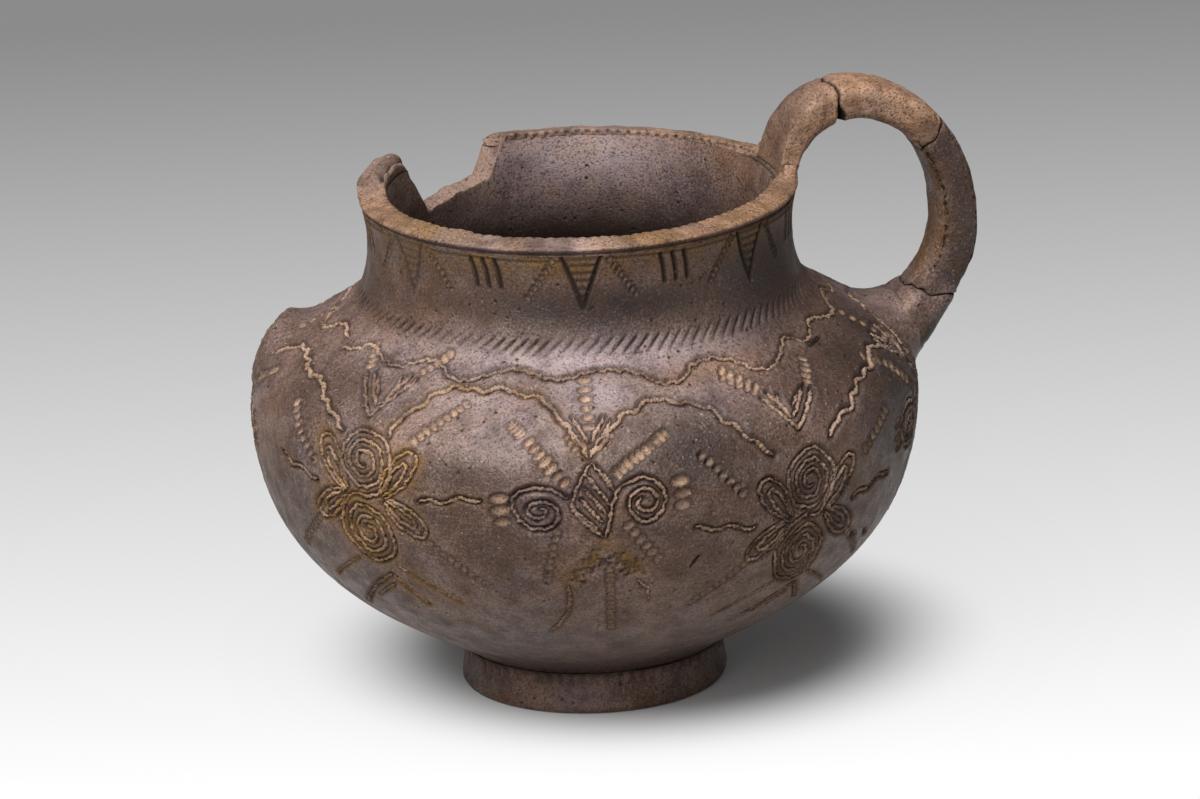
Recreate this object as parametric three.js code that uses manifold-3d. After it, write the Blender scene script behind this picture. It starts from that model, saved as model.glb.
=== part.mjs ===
// Hand-built pottery jar with a high looped strap handle, millimetres, +Z up.
// A round-bottomed bowl stands on a foot ring; shoulder, neck and rim coil are luted on above it.
// The handle is rejoined from four sherds. Its twin is lost: only the two stumps of its roots are
// left, and a piece of the rim broke away beside them.
import * as THREE from 'three';
import { mergeVertices } from 'three/addons/utils/BufferGeometryUtils.js';
import Module from 'manifold-3d';

const wasm = await Module();
wasm.setup();

// Foot ring
const footRadius = 33.2;
const footHeight = 11.3; // where the bowl leaves the ring on the outside
const footWidth = 7; // radial width of the ring
const footEdge = 1.8; // worn rounding of the standing edge

// Bowl, shoulder and neck, measured on the outside
const bowlBase = 4.5; // underside of the bowl above the table
const bellyRadius = 83.2;
const bellyHeight = 74;
const shoulderHeight = 27.2; // from the belly up to the root of the neck
const neckRootRadius = 56.8;
const neckHeight = 26.1; // from the root of the neck up to the lip's outer edge
const wall = 6.5;

// Rim
const lipRadius = 54.5; // outer edge of the lip
const lipWidth = 7;
const lipRise = 1.5; // the bevelled lip rises toward the mouth
const rimCoilHeight = 7;
const lipEdgeHeight = 0.8; // upright outer edge of the lip
const lipGrooveDepth = 1.2;
const lipGrooveDrop = 2.6; // deepest line of the groove below the lip's outer edge
const coilInset = 0.8; // the coil under the groove stands this far inside the lip's edge

// Joints between the clay members
const jointGap = 0.3;
const jointLap = 4; // how far a bevelled joint climbs through the wall

// Strap handle
const strapWidth = 16.5;
const strapThickness = 9.8;
const handleRise = 19.3; // top of the loop above the lip's mouth edge
const handleReach = 18.8; // outermost point of the loop beyond the belly
const handleReachHeight = 37; // that point above the belly
const crownOverhang = 15.5; // highest point of the loop outside the lip's outer edge
const rimRootWidth = 23;
const shoulderRootWidth = 31;
const shoulderRootThickness = 14.5;
const shoulderRootHeight = 9; // where the strap enters the shoulder, above the belly
const rootSpread = 22; // length of strap over which each root widens
const rootDepth = 4; // the strap is followed this far into the wall at both ends
const crownBreak = 0.224; // breaks, as shares of the strap's length from the rim
const armBreak = 0.466;
const lowerBreak = 0.855;
const lowerBreakTilt = 0.5; // slope of the lower break toward the inside of the loop
const breakRelief = 0.7; // roughness of the broken faces
const breakWave = 15; // length of the longest waves in that roughness
const crownChip = 1.6; // clay lost from the inner corner of the crown break

// Lost second handle and broken rim
const lostHandleAngle = 153; // degrees round from the surviving handle
const rimStumpHeight = 2.4; // what stands above the lip
const shoulderStumpHeight = 1.6; // what stands out of the shoulder
const shoulderStumpTilt = -0.28; // its broken face leans back toward the belly
const shoulderStumpRelief = 0.25; // its broken face is worn smoother
const breakLeftAngle = 139;
const breakTipAngle = 129;
const breakLedgeAngle = 105;
const breakRightAngle = 99.5;
const breakDepth = 14.2; // deepest point below the lip's mouth edge
const ledgeDepth = 10.5;
const breakRightChip = 2.1; // upright stretch of the right edge

// Shape of the curves, as shares of the spans that they cross
const bowlSplay = { out: 0.285, up: 0.167 }; // how the bowl leaves the foot
const bowlFullness = 0.671; // below the belly
const shoulderFullness = 0.573; // above the belly
const shoulderSweep = { out: 0.376, down: 0.371 }; // how the shoulder runs into the neck
const neckSweep = { in: 0.121, up: 0.126 }; // how the neck leaves the shoulder
const neckWaist = { in: 0.53, down: 0.421 }; // drawn-in waist below the lip
const lipBulge = 0.62; // height of the lip's middle
const edgeBulge = 0.3; // roundness of worn edges
const upsweepPull = { out: 0.04, up: 0.62, over: 0.53 }; // handle rising from the lip to its crown
const quarterPull = 0.552; // cubic quarter ellipse from the crown to the outermost point
const lowerPull = 0.42; // handle bending back in to the shoulder
const sectionRoundness = 0.62; // 1 is an ellipse, less is squarer
const chipLean = 0.25; // how far the chip at the crown break runs across the strap

// Facets
const roundSegments = 60;
const undersideSteps = 4;
const bowlSteps = 9;
const shoulderSteps = 8;
const neckSteps = 5;
const strapSides = 16;
const strapStep = 3.6; // along the strap

// Heights that follow
const neckRootHeight = bellyHeight + shoulderHeight;
const lipOuterHeight = neckRootHeight + neckHeight;
const lipInnerHeight = lipOuterHeight + lipRise;
const lipInnerRadius = lipRadius - lipWidth;
const wallMiddle = lipRadius - lipWidth / 2;
const reachRadius = bellyRadius + handleReach;

const point = (radius, height) => new THREE.Vector2(radius, height);
const bezier = (a, b, c, d) => new THREE.CubicBezierCurve(a, b, c, d);

// Outside of the vessel, as three cubic curves and the round underside of the bowl.
const bowlJoin = point(footRadius, footHeight);
const belly = point(bellyRadius, bellyHeight);
const neckRoot = point(neckRootRadius, neckRootHeight);
const lipEdge = point(lipRadius, lipOuterHeight);
const bowlSpread = bellyRadius - footRadius;
const bowlDepth = bellyHeight - footHeight;
const shoulderSpread = bellyRadius - neckRootRadius;
const splay = point(footRadius + bowlSplay.out * bowlSpread, footHeight + bowlSplay.up * bowlDepth);
const fullness = point(bellyRadius, bellyHeight - bowlFullness * bowlDepth);
const bowlCurve = bezier(bowlJoin, splay, fullness, belly);
const sweepRadius = neckRootRadius + shoulderSweep.out * shoulderSpread;
const shoulderCurve = bezier(
  belly,
  point(bellyRadius, bellyHeight + shoulderFullness * shoulderHeight),
  point(sweepRadius, neckRootHeight - shoulderSweep.down * shoulderHeight),
  neckRoot,
);
const neckCurve = bezier(
  neckRoot,
  point(neckRootRadius - neckSweep.in * shoulderSpread, neckRootHeight + neckSweep.up * neckHeight),
  point(lipRadius - neckWaist.in * lipWidth, lipOuterHeight - neckWaist.down * neckHeight),
  lipEdge,
);
const splaySlope = (splay.y - bowlJoin.y) / (splay.x - bowlJoin.x);
const undersideTurn = point(footRadius - (footHeight - bowlBase) / splaySlope, bowlBase);
const undersideCurve = new THREE.QuadraticBezierCurve(point(0, bowlBase), undersideTurn, bowlJoin);

/** Points of a profile curve between two parameters, moved sideways: inward for a positive offset. */
function profile(curve, steps, offset, from = 0, to = 1) {
  const points = [];
  for (let i = 0; i <= steps; i += 1) {
    const t = from + ((to - from) * i) / steps;
    const tangent = curve.getTangent(t);
    const place = curve.getPoint(t);
    points.push(point(place.x - offset * tangent.y, place.y + offset * tangent.x));
  }
  return points;
}

/** Parameter at which a profile curve has come as far as a value of its radius (x) or height (y). */
function parameterAt(curve, coordinate, value) {
  let low = 0;
  let high = 1;
  for (let i = 0; i < 40; i += 1) {
    const middle = (low + high) / 2;
    if (curve.getPoint(middle)[coordinate] < value) low = middle;
    else high = middle;
  }
  return low;
}

/** Solid of revolution about +Z of an outline that runs up the outside and down the inside. */
function revolve(outline) {
  const lathe = new THREE.LatheGeometry(outline, roundSegments);
  lathe.rotateX(Math.PI / 2);
  return lathe;
}

const revolveRing = (outline) => revolve([...outline, outline[0].clone()]);

/** Closed boolean solid made from a three.js geometry. */
function solid(geometry) {
  const bare = geometry.clone();
  bare.deleteAttribute('normal');
  bare.deleteAttribute('uv');
  const merged = mergeVertices(bare, 1e-4);
  const index = merged.index.array;
  const triangles = [];
  for (let i = 0; i < index.length; i += 3) {
    const [a, b, c] = index.slice(i, i + 3);
    if (a !== b && b !== c && c !== a) triangles.push(a, b, c);
  }
  const vertProperties = new Float32Array(merged.attributes.position.array);
  const triVerts = new Uint32Array(triangles);
  return new wasm.Manifold(new wasm.Mesh({ numProp: 3, vertProperties, triVerts }));
}

/** three.js geometry of a boolean solid. */
function geometryOf(body) {
  const mesh = body.getMesh();
  const geometry = new THREE.BufferGeometry();
  geometry.setAttribute('position', new THREE.BufferAttribute(mesh.vertProperties, 3));
  geometry.setIndex(new THREE.BufferAttribute(mesh.triVerts, 1));
  geometry.computeVertexNormals();
  return geometry;
}

const jar = new THREE.Group();

function addPart(name, geometry, color, roughness) {
  const mesh = new THREE.Mesh(geometry, new THREE.MeshStandardMaterial({ color, roughness, metalness: 0 }));
  mesh.name = name;
  jar.add(mesh);
}

const burnishedBrown = 0x5f4a41;
const greyBrown = 0x6b5850;
const tanRim = 0x9c7a66;
const pinkTan = 0xa08070;
const brokenClay = 0xb08c7c;

// Foot ring: a coil whose top follows the bowl's underside, with a flat standing face.
const ringInner = footRadius - footWidth;
const seatStart = parameterAt(undersideCurve, 'x', ringInner);
const seat = profile(undersideCurve, undersideSteps, -jointGap, seatStart, 1);
const edgeInset = edgeBulge * footEdge;
const footWaist = (footEdge + seat.at(-1).y) / 2;
const footRing = [
  point(ringInner + footEdge, 0),
  point(footRadius - footEdge, 0),
  point(footRadius - edgeInset, edgeInset),
  point(footRadius, footEdge),
  point(footRadius - edgeInset, footWaist),
  ...seat.reverse(),
  point(seat.at(-1).x, footEdge),
  point(ringInner + edgeInset, edgeInset),
];
addPart('foot_ring', revolveRing(footRing), burnishedBrown, 0.7);

// Lower bowl: a pinched round bowl up to the belly, its upper edge bevelled for the shoulder.
const lapUp = parameterAt(shoulderCurve, 'y', bellyHeight + jointLap);
const lapInside = profile(shoulderCurve, 1, wall, 0, lapUp);
const bowlSide = (offset) => [
  ...profile(undersideCurve, undersideSteps, offset),
  ...profile(bowlCurve, bowlSteps, offset).slice(1),
];
const bowlOutside = bowlSide(0);
const bowlInside = bowlSide(wall);
const lowerBowl = [...bowlOutside, lapInside[1], ...bowlInside.reverse()];
addPart('lower_bowl', revolve(lowerBowl), burnishedBrown, 0.55);

// Shoulder: a wide coil lapped inside the bowl's edge and drawn in to the root of the neck.
const neckLapUp = parameterAt(neckCurve, 'y', neckRootHeight + jointLap);
const neckLapInside = profile(neckCurve, 1, wall, 0, neckLapUp);
const lift = (points) => points.map((p) => point(p.x, p.y + jointGap));
const shoulderOutside = profile(shoulderCurve, shoulderSteps, 0);
const shoulderInside = profile(shoulderCurve, shoulderSteps, wall, lapUp, 1);
const shoulder = [
  ...lift(shoulderOutside.slice(0, 1)),
  ...shoulderOutside.slice(1),
  neckLapInside[1],
  ...shoulderInside.slice(1).reverse(),
  ...lift(shoulderInside.slice(0, 1)),
];
addPart('shoulder', revolveRing(shoulder), greyBrown, 0.5);

// Rim break: a tapering prism driven through neck and rim from the outside.
function rimBreakSolid() {
  const middle = (breakLeftAngle + breakRightAngle) / 2;
  const across = (angle) => -wallMiddle * Math.sin(THREE.MathUtils.degToRad(angle - middle));
  const above = lipInnerHeight + handleRise;
  const leftRun = ((breakLeftAngle - breakTipAngle) * handleRise) / breakDepth;
  const outline = new THREE.Shape([
    point(across(breakLeftAngle + leftRun), above),
    point(across(breakTipAngle), lipInnerHeight - breakDepth),
    point(across(breakLedgeAngle), lipInnerHeight - ledgeDepth),
    point(across(breakRightAngle), lipInnerHeight - breakRightChip),
    point(across(breakRightAngle), above),
  ]);
  const prism = new THREE.ExtrudeGeometry(outline, { depth: 2 * lipRadius, bevelEnabled: false });
  prism.rotateX(Math.PI / 2);
  prism.rotateZ(THREE.MathUtils.degToRad(middle - 90) + Math.PI);
  return solid(prism);
}
const rimBreak = rimBreakSolid();

// Neck: a short cylinder with drawn-in waist, set on the bevelled edge of the shoulder.
const coilSeat = parameterAt(neckCurve, 'y', lipOuterHeight - rimCoilHeight);
const neckOutside = profile(neckCurve, neckSteps, 0, 0, coilSeat);
const neckInside = profile(neckCurve, neckSteps, wall, neckLapUp, coilSeat);
const neck = [
  ...lift(neckOutside.slice(0, 1)),
  ...neckOutside.slice(1),
  ...neckInside.slice(1).reverse(),
  ...lift(neckInside.slice(0, 1)),
];
addPart('neck', geometryOf(solid(revolveRing(neck)).subtract(rimBreak)), greyBrown, 0.55);

// Rim coil: bevelled lip with a groove under its outer edge.
const rimOutside = neckOutside.at(-1);
const rimInside = neckInside.at(-1);
const lipCrown = point(wallMiddle, lipOuterHeight + lipBulge * lipRise);
const rimCoil = [
  point(rimOutside.x, rimOutside.y + jointGap),
  point(lipRadius - coilInset, lipOuterHeight - lipGrooveDrop - coilInset),
  point(lipRadius - lipGrooveDepth, lipOuterHeight - lipGrooveDrop),
  point(lipRadius, lipOuterHeight - lipEdgeHeight),
  lipEdge,
  lipCrown,
  point(lipInnerRadius + edgeBulge * lipRise, lipInnerHeight),
  point(lipInnerRadius, lipInnerHeight - edgeBulge * lipRise),
  point(rimInside.x, rimInside.y + jointGap),
];
addPart('rim_coil', geometryOf(solid(revolveRing(rimCoil)).subtract(rimBreak)), tanRim, 0.6);

// Middle line of the strap handle: up from the lip, over the crown, out and down to the shoulder.
const strapTop = lipInnerHeight + handleRise - strapThickness / 2;
const strapOut = reachRadius - strapThickness / 2;
const rimStart = point(wallMiddle, lipInnerHeight - rootDepth);
const crown = point(lipRadius + crownOverhang, strapTop);
const reach = point(strapOut, bellyHeight + handleReachHeight);
const rootParameter = parameterAt(shoulderCurve, 'y', bellyHeight + shoulderRootHeight);
const rootPlace = shoulderCurve.getPoint(rootParameter);
const rootSlope = shoulderCurve.getTangent(rootParameter);
const rootDirection = point(-rootSlope.y, rootSlope.x); // square to the shoulder
const shoulderEnd = rootPlace.clone().addScaledVector(rootDirection, rootDepth);
const strapLine = new THREE.CurvePath();
const upSweep = strapTop - rimStart.y;
const rootRun = rootPlace.distanceTo(reach);
strapLine.add(bezier(
  rimStart,
  point(rimStart.x + upsweepPull.out * upSweep, rimStart.y + upsweepPull.up * upSweep),
  point(crown.x - upsweepPull.over * (crown.x - rimStart.x), crown.y),
  crown,
));
strapLine.add(bezier(
  crown,
  point(crown.x + quarterPull * (reach.x - crown.x), crown.y),
  point(reach.x, reach.y + quarterPull * (crown.y - reach.y)),
  reach,
));
strapLine.add(bezier(
  reach,
  point(reach.x, reach.y - lowerPull * rootRun),
  shoulderEnd.clone().addScaledVector(rootDirection, -lowerPull * rootRun),
  shoulderEnd,
));
const strapLength = strapLine.getLength();

const smooth = (value, from, to) => THREE.MathUtils.smoothstep(value, from, to);

/** Width and thickness of the strap at a distance along it: both roots spread over the clay. */
function strapSection(distance) {
  const toRim = (1 - smooth(distance, rootDepth, rootDepth + rootSpread)) ** 2;
  const toShoulder = smooth(distance, strapLength - rootDepth - rootSpread, strapLength - rootDepth) ** 2;
  const grown = (size, rim, shoulder) => size + toRim * (rim - size) + toShoulder * (shoulder - size);
  return {
    halfWidth: grown(strapWidth, rimRootWidth, shoulderRootWidth) / 2,
    halfThickness: grown(strapThickness, lipWidth, shoulderRootThickness) / 2,
    wrap: grown(0, 1, 1),
  };
}

/** Waviness of a broken face, the same for both sherds that meet there. */
function breakShape(distance, side, up) {
  const turn = (2 * Math.PI) / breakWave;
  const across = Math.sin(turn * (side + 2.15 * distance));
  const through = Math.cos(turn * (1.9 * up - 0.74 * side + 2.4 * distance));
  const fine = Math.sin(turn * (2.6 * side - 2.15 * up + 0.7 * distance));
  return 0.55 * (across + through) + 0.3 * fine;
}

/** One ring of the strap's rounded-oblong section. A broken end is roughened and stands back. */
function strapRing(distance, scale, end) {
  const share = distance / strapLength;
  const middle = strapLine.getPointAt(share);
  const along = strapLine.getTangentAt(share);
  const { halfWidth, halfThickness, wrap } = strapSection(distance);
  const ring = [];
  for (let i = 0; i < strapSides; i += 1) {
    const angle = (2 * Math.PI * i) / strapSides;
    const round = (v) => Math.sign(v) * Math.abs(v) ** sectionRoundness;
    const side = scale * halfWidth * round(Math.cos(angle));
    const up = scale * halfThickness * round(Math.sin(angle));
    const corner = smooth(-up - chipLean * side, 0, halfThickness + chipLean * halfWidth);
    const rough = end.relief * breakShape(distance, side, up);
    const shift = end.back + rough + end.chip * corner - end.tilt * up;
    const radius = middle.x - up * along.y + shift * along.x - (wrap * side * side) / (2 * middle.x);
    ring.push(new THREE.Vector3(radius, side, middle.y + up * along.x + shift * along.y));
  }
  return ring;
}

const plain = { relief: 0, back: 0, chip: 0, tilt: 0 };
const brokenStart = { ...plain, relief: breakRelief, back: jointGap / 2 };
const brokenEnd = { ...plain, relief: breakRelief, back: -jointGap / 2 };
const chippedEnd = { ...brokenEnd, chip: -crownChip };
const tiltedEnd = { ...brokenEnd, tilt: lowerBreakTilt };
const tiltedStart = { ...brokenStart, tilt: lowerBreakTilt };
const leaningStart = { ...brokenStart, relief: shoulderStumpRelief, tilt: shoulderStumpTilt };

/** Loft of the strap between two distances, with plain ends in the wall or rough broken ends. */
function strapPiece(from, to, start, end) {
  const steps = Math.max(1, Math.round((to - from) / strapStep));
  const rings = [strapRing(from, 0.5, start), strapRing(from, 1, start)];
  for (let i = 1; i < steps; i += 1) rings.push(strapRing(from + ((to - from) * i) / steps, 1, plain));
  rings.push(strapRing(to, 1, end), strapRing(to, 0.5, end));
  const total = (ring) => ring.reduce((sum, place) => sum.add(place), new THREE.Vector3());
  const centre = (ring) => total(ring).divideScalar(strapSides);
  const points = [centre(rings[0]), ...rings.flat(), centre(rings.at(-1))];
  const last = points.length - 1;
  const index = [];
  const quad = (a, b, c, d) => index.push(a, b, c, a, c, d);
  for (let k = 0; k < strapSides; k += 1) {
    const next = (k + 1) % strapSides;
    index.push(0, 1 + next, 1 + k);
    // The starting face is split along the same diagonals as the end face that it meets.
    quad(1 + next, 1 + strapSides + next, 1 + strapSides + k, 1 + k);
    for (let r = 1; r + 1 < rings.length; r += 1) {
      const low = 1 + r * strapSides;
      const high = low + strapSides;
      quad(low + k, low + next, high + next, high + k);
    }
    index.push(last, last - strapSides + k, last - strapSides + next);
  }
  const geometry = new THREE.BufferGeometry().setFromPoints(points);
  geometry.setIndex(index);
  geometry.computeVertexNormals();
  return geometry;
}

// What the handle's roots must keep off: the whole vessel, filled, and one joint gap larger.
const envelope = solid(revolve([
  point(0, 0),
  ...profile(bowlCurve, bowlSteps, -jointGap),
  ...profile(shoulderCurve, shoulderSteps, -jointGap).slice(1),
  ...profile(neckCurve, neckSteps, -jointGap).slice(1),
  point(lipRadius + jointGap, lipOuterHeight + jointGap),
  point(lipCrown.x, lipCrown.y + jointGap),
  point(lipInnerRadius, lipInnerHeight + jointGap),
  point(0, lipInnerHeight + jointGap),
]));

const crownPlace = crownBreak * strapLength;
const armPlace = armBreak * strapLength;
const lowerPlace = lowerBreak * strapLength;

// Handle sherds: the rim root, the crown, the outer arm and the shoulder root.
const rimRoot = strapPiece(0, crownPlace, plain, chippedEnd);
addPart('handle_rim_root', geometryOf(solid(rimRoot).subtract(envelope)), pinkTan, 0.6);
addPart('handle_crown', strapPiece(crownPlace, armPlace, brokenStart, brokenEnd), pinkTan, 0.6);
addPart('handle_outer_arm', strapPiece(armPlace, lowerPlace, brokenStart, tiltedEnd), tanRim, 0.6);
const shoulderRoot = strapPiece(lowerPlace, strapLength, tiltedStart, plain);
addPart('handle_shoulder_root', geometryOf(solid(shoulderRoot).subtract(envelope)), greyBrown, 0.55);

// Stumps of the lost handle: the same strap, broken off close to its two roots.
function lostPiece(geometry) {
  geometry.rotateZ(THREE.MathUtils.degToRad(lostHandleAngle));
  return solid(geometry).subtract(envelope);
}
const rimStumpEnd = rootDepth + rimStumpHeight;
const rimStump = lostPiece(strapPiece(0, rimStumpEnd, plain, brokenEnd)).subtract(rimBreak);
addPart('lost_handle_rim_stump', geometryOf(rimStump), brokenClay, 0.85);
const shoulderStumpStart = strapLength - rootDepth - shoulderStumpHeight;
const shoulderStump = lostPiece(strapPiece(shoulderStumpStart, strapLength, leaningStart, plain));
addPart('lost_handle_shoulder_stump', geometryOf(shoulderStump), brokenClay, 0.85);

// The footprint is centred: the handle reaches further out than the belly on the other side.
jar.position.x = (bellyRadius - reachRadius) / 2;

const scene = new THREE.Group();
scene.add(jar);

export default scene;
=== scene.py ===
import bpy
import numpy as np
from mathutils import Matrix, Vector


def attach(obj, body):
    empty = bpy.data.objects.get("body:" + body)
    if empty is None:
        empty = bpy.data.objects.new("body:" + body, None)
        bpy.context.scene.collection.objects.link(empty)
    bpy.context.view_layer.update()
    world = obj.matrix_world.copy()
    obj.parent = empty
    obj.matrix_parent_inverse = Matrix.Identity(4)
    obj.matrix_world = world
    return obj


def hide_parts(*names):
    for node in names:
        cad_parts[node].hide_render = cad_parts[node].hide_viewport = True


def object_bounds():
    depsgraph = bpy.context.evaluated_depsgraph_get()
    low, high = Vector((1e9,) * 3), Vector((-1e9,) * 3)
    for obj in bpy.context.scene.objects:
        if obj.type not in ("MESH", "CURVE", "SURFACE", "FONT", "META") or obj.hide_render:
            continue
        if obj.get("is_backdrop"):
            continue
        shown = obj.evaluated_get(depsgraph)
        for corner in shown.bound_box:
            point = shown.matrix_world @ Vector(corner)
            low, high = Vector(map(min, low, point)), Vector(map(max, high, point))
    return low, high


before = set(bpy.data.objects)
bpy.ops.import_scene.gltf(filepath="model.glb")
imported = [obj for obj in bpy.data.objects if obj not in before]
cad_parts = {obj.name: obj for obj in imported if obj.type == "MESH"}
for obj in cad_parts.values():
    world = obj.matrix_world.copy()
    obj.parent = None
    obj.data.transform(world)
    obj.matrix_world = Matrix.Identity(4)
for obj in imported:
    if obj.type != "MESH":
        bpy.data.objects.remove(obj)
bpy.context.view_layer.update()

# Bowl base: the pinched round bottom of the jar, of dark earthenware clay tempered with sand.
# Its outside was scraped and rubbed with a pebble, and the inside keeps the wiping marks of a hand.
# The belly is luted on above it and the foot ring below. Sizes are in millimetres.
jar_axis = -9.4
wall = 6.5
belly_radius, belly_height = 83.2, 74
bowl_join, bowl_bottom = (33.2, 11.3), 4.5
neck_root, lip_edge = (56.8, 101.2), (54.5, 127.3)
viewer_side = np.radians(-105)


def bezier(a, b, c, d, count):
    """Cubic curve: the four corners weighted by (1-t)^3, 3(1-t)^2 t, 3(1-t) t^2 and t^3."""
    t = np.linspace(0, 1, count)[:, None]
    ends = (1 - t) ** 3 * np.array(a) + t ** 3 * np.array(d)
    return ends + 3 * (1 - t) ** 2 * t * np.array(b) + 3 * (1 - t) * t ** 2 * np.array(c)


belly = (belly_radius, belly_height)
bowl_line = bezier(bowl_join, (47.45, 21.77), (belly_radius, 31.93), belly, 900)
shoulder_line = bezier(belly, (belly_radius, 89.59), (66.73, 91.11), neck_root, 600)
neck_line = bezier(neck_root, (53.61, 104.49), (50.79, 116.31), lip_edge, 500)
outside = np.vstack([bowl_line, shoulder_line[1:], neck_line[1:]])
outside_arc = np.concatenate([[0], np.cumsum(np.hypot(*np.diff(outside, axis=0).T))])
outside_arc -= outside_arc[len(bowl_line) - 1]
outside_slope = np.gradient(outside, outside_arc, axis=0)
foot_arc, neck_arc = outside_arc[0], outside_arc[len(bowl_line) + len(shoulder_line) - 2]


def vessel(arc, depth=0.0):
    """Radius and height of the wall: the outside line at an arc length above the belly, moved in by
    depth along its normal, which is the slope turned a quarter left."""
    radius, height = (np.interp(arc, outside_arc, outside[:, k]) for k in (0, 1))
    across, up = (np.interp(arc, outside_arc, outside_slope[:, k]) for k in (0, 1))
    return radius - depth * up, height + depth * across


def turned(angle, radius, height):
    """Points at an angle about the jar's axis: x = axis + r cos, y = r sin, z = height."""
    x, y = jar_axis + radius * np.cos(angle), radius * np.sin(angle)
    return np.stack(np.broadcast_arrays(x, y, height), -1)


def hand_wobble(angle, height):
    """Unevenness of a wall built by hand: four low waves round the jar that drift with height."""
    slow = 0.16 * np.sin(2 * angle + 0.8) + 0.1 * np.sin(3 * angle - 0.03 * height)
    return slow + 0.06 * np.sin(7 * angle + 0.09 * height) + 0.04 * np.sin(13 * angle - 0.16 * height)


def outside_wobble(angle, arc):
    """The wall's unevenness, growing from nothing at the foot to its full size 8 mm above it."""
    return hand_wobble(angle, vessel(arc)[1]) * np.clip((arc - foot_arc) / 8, 0, 1)


def rough(points, longest, shortest, seed, waves=28):
    """Noise of about -1 to 1: plane waves in random directions, with lengths between two sizes in mm."""
    draw = np.random.default_rng(seed)
    turn = draw.normal(size=(waves, 3))
    length = longest * (shortest / longest) ** np.linspace(0, 1, waves)
    turn *= (2 * np.pi / length / np.linalg.norm(turn, axis=1))[:, None]
    share = length ** 0.6 / np.linalg.norm(length ** 0.6)
    return np.sin(points @ turn.T + draw.uniform(0, 2 * np.pi, waves)) @ share


def surface(name, points, material, ring=False, poles=(False, False), **shares):
    """Mesh of a grid of points in mm: columns close round, rows close into a ring or end in poles.
    Quads run along rows and columns; where the enclosed volume comes out negative they are reversed.
    Each share, such as dirt or paste, becomes a number on every point."""
    rows, columns = points.shape[:2]
    place = np.arange(rows * columns).reshape(rows, columns)
    for end, pole in zip((0, -1), poles):
        place[end] = place[end, 0] if pole else place[end]
    place = np.vstack([place, place[:1]]) if ring else place
    beside = np.roll(place, -1, axis=1)
    quads = np.stack([place[:-1], beside[:-1], beside[1:], place[1:]], -1).reshape(-1, 4)
    flat = points.reshape(-1, 3)
    a, b, c, d = (flat[quads[:, k]] for k in range(4))
    volume = np.einsum("ij,ij->", a, np.cross(b, c)) + np.einsum("ij,ij->", a, np.cross(c, d))
    quads = quads[:, ::-1] if volume < 0 else quads
    repeated = quads == np.roll(quads, 1, axis=1)
    corners = 4 - repeated.sum(1)
    used, loops = np.unique(quads[~repeated], return_inverse=True)
    mesh = bpy.data.meshes.new(name)
    mesh.vertices.add(len(used))
    mesh.vertices.foreach_set("co", (flat[used] * 0.001).astype(np.float32).ravel())
    mesh.loops.add(len(loops))
    mesh.loops.foreach_set("vertex_index", loops.astype(np.int32).ravel())
    mesh.polygons.add(len(corners))
    mesh.polygons.foreach_set("loop_start", (np.cumsum(corners) - corners).astype(np.int32))
    mesh.update(calc_edges=True)
    mesh.validate()
    mesh.shade_smooth()
    mesh.set_sharp_from_angle(angle=np.radians(75))
    for share, values in shares.items():
        spread = np.broadcast_to(values, (rows, columns)).ravel()[used]
        mesh.attributes.new(share, "FLOAT", "POINT").data.foreach_set("value", spread.astype(np.float32))
    mesh.materials.append(material)
    piece = bpy.data.objects.new(name, mesh)
    bpy.context.scene.collection.objects.link(piece)
    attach(piece, "root")
    return piece


def linear(code):
    """Linear colour of an sRGB hex value."""
    channel = np.array([(code >> shift & 255) / 255 for shift in (16, 8, 0)])
    value = np.where(channel <= 0.04045, channel / 12.92, ((channel + 0.055) / 1.055) ** 2.4)
    return (*value, 1.0)


def add(tree, kind, sockets=(), **settings):
    """Adds a node with its own settings; sockets are filled with a value or linked to another socket."""
    node = tree.nodes.new(kind)
    for name, value in settings.items():
        setattr(node, name, value)
    for name, value in dict(sockets).items():
        if isinstance(value, bpy.types.NodeSocket):
            tree.links.new(value, node.inputs[name])
        else:
            node.inputs[name].default_value = value
    return node


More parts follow.
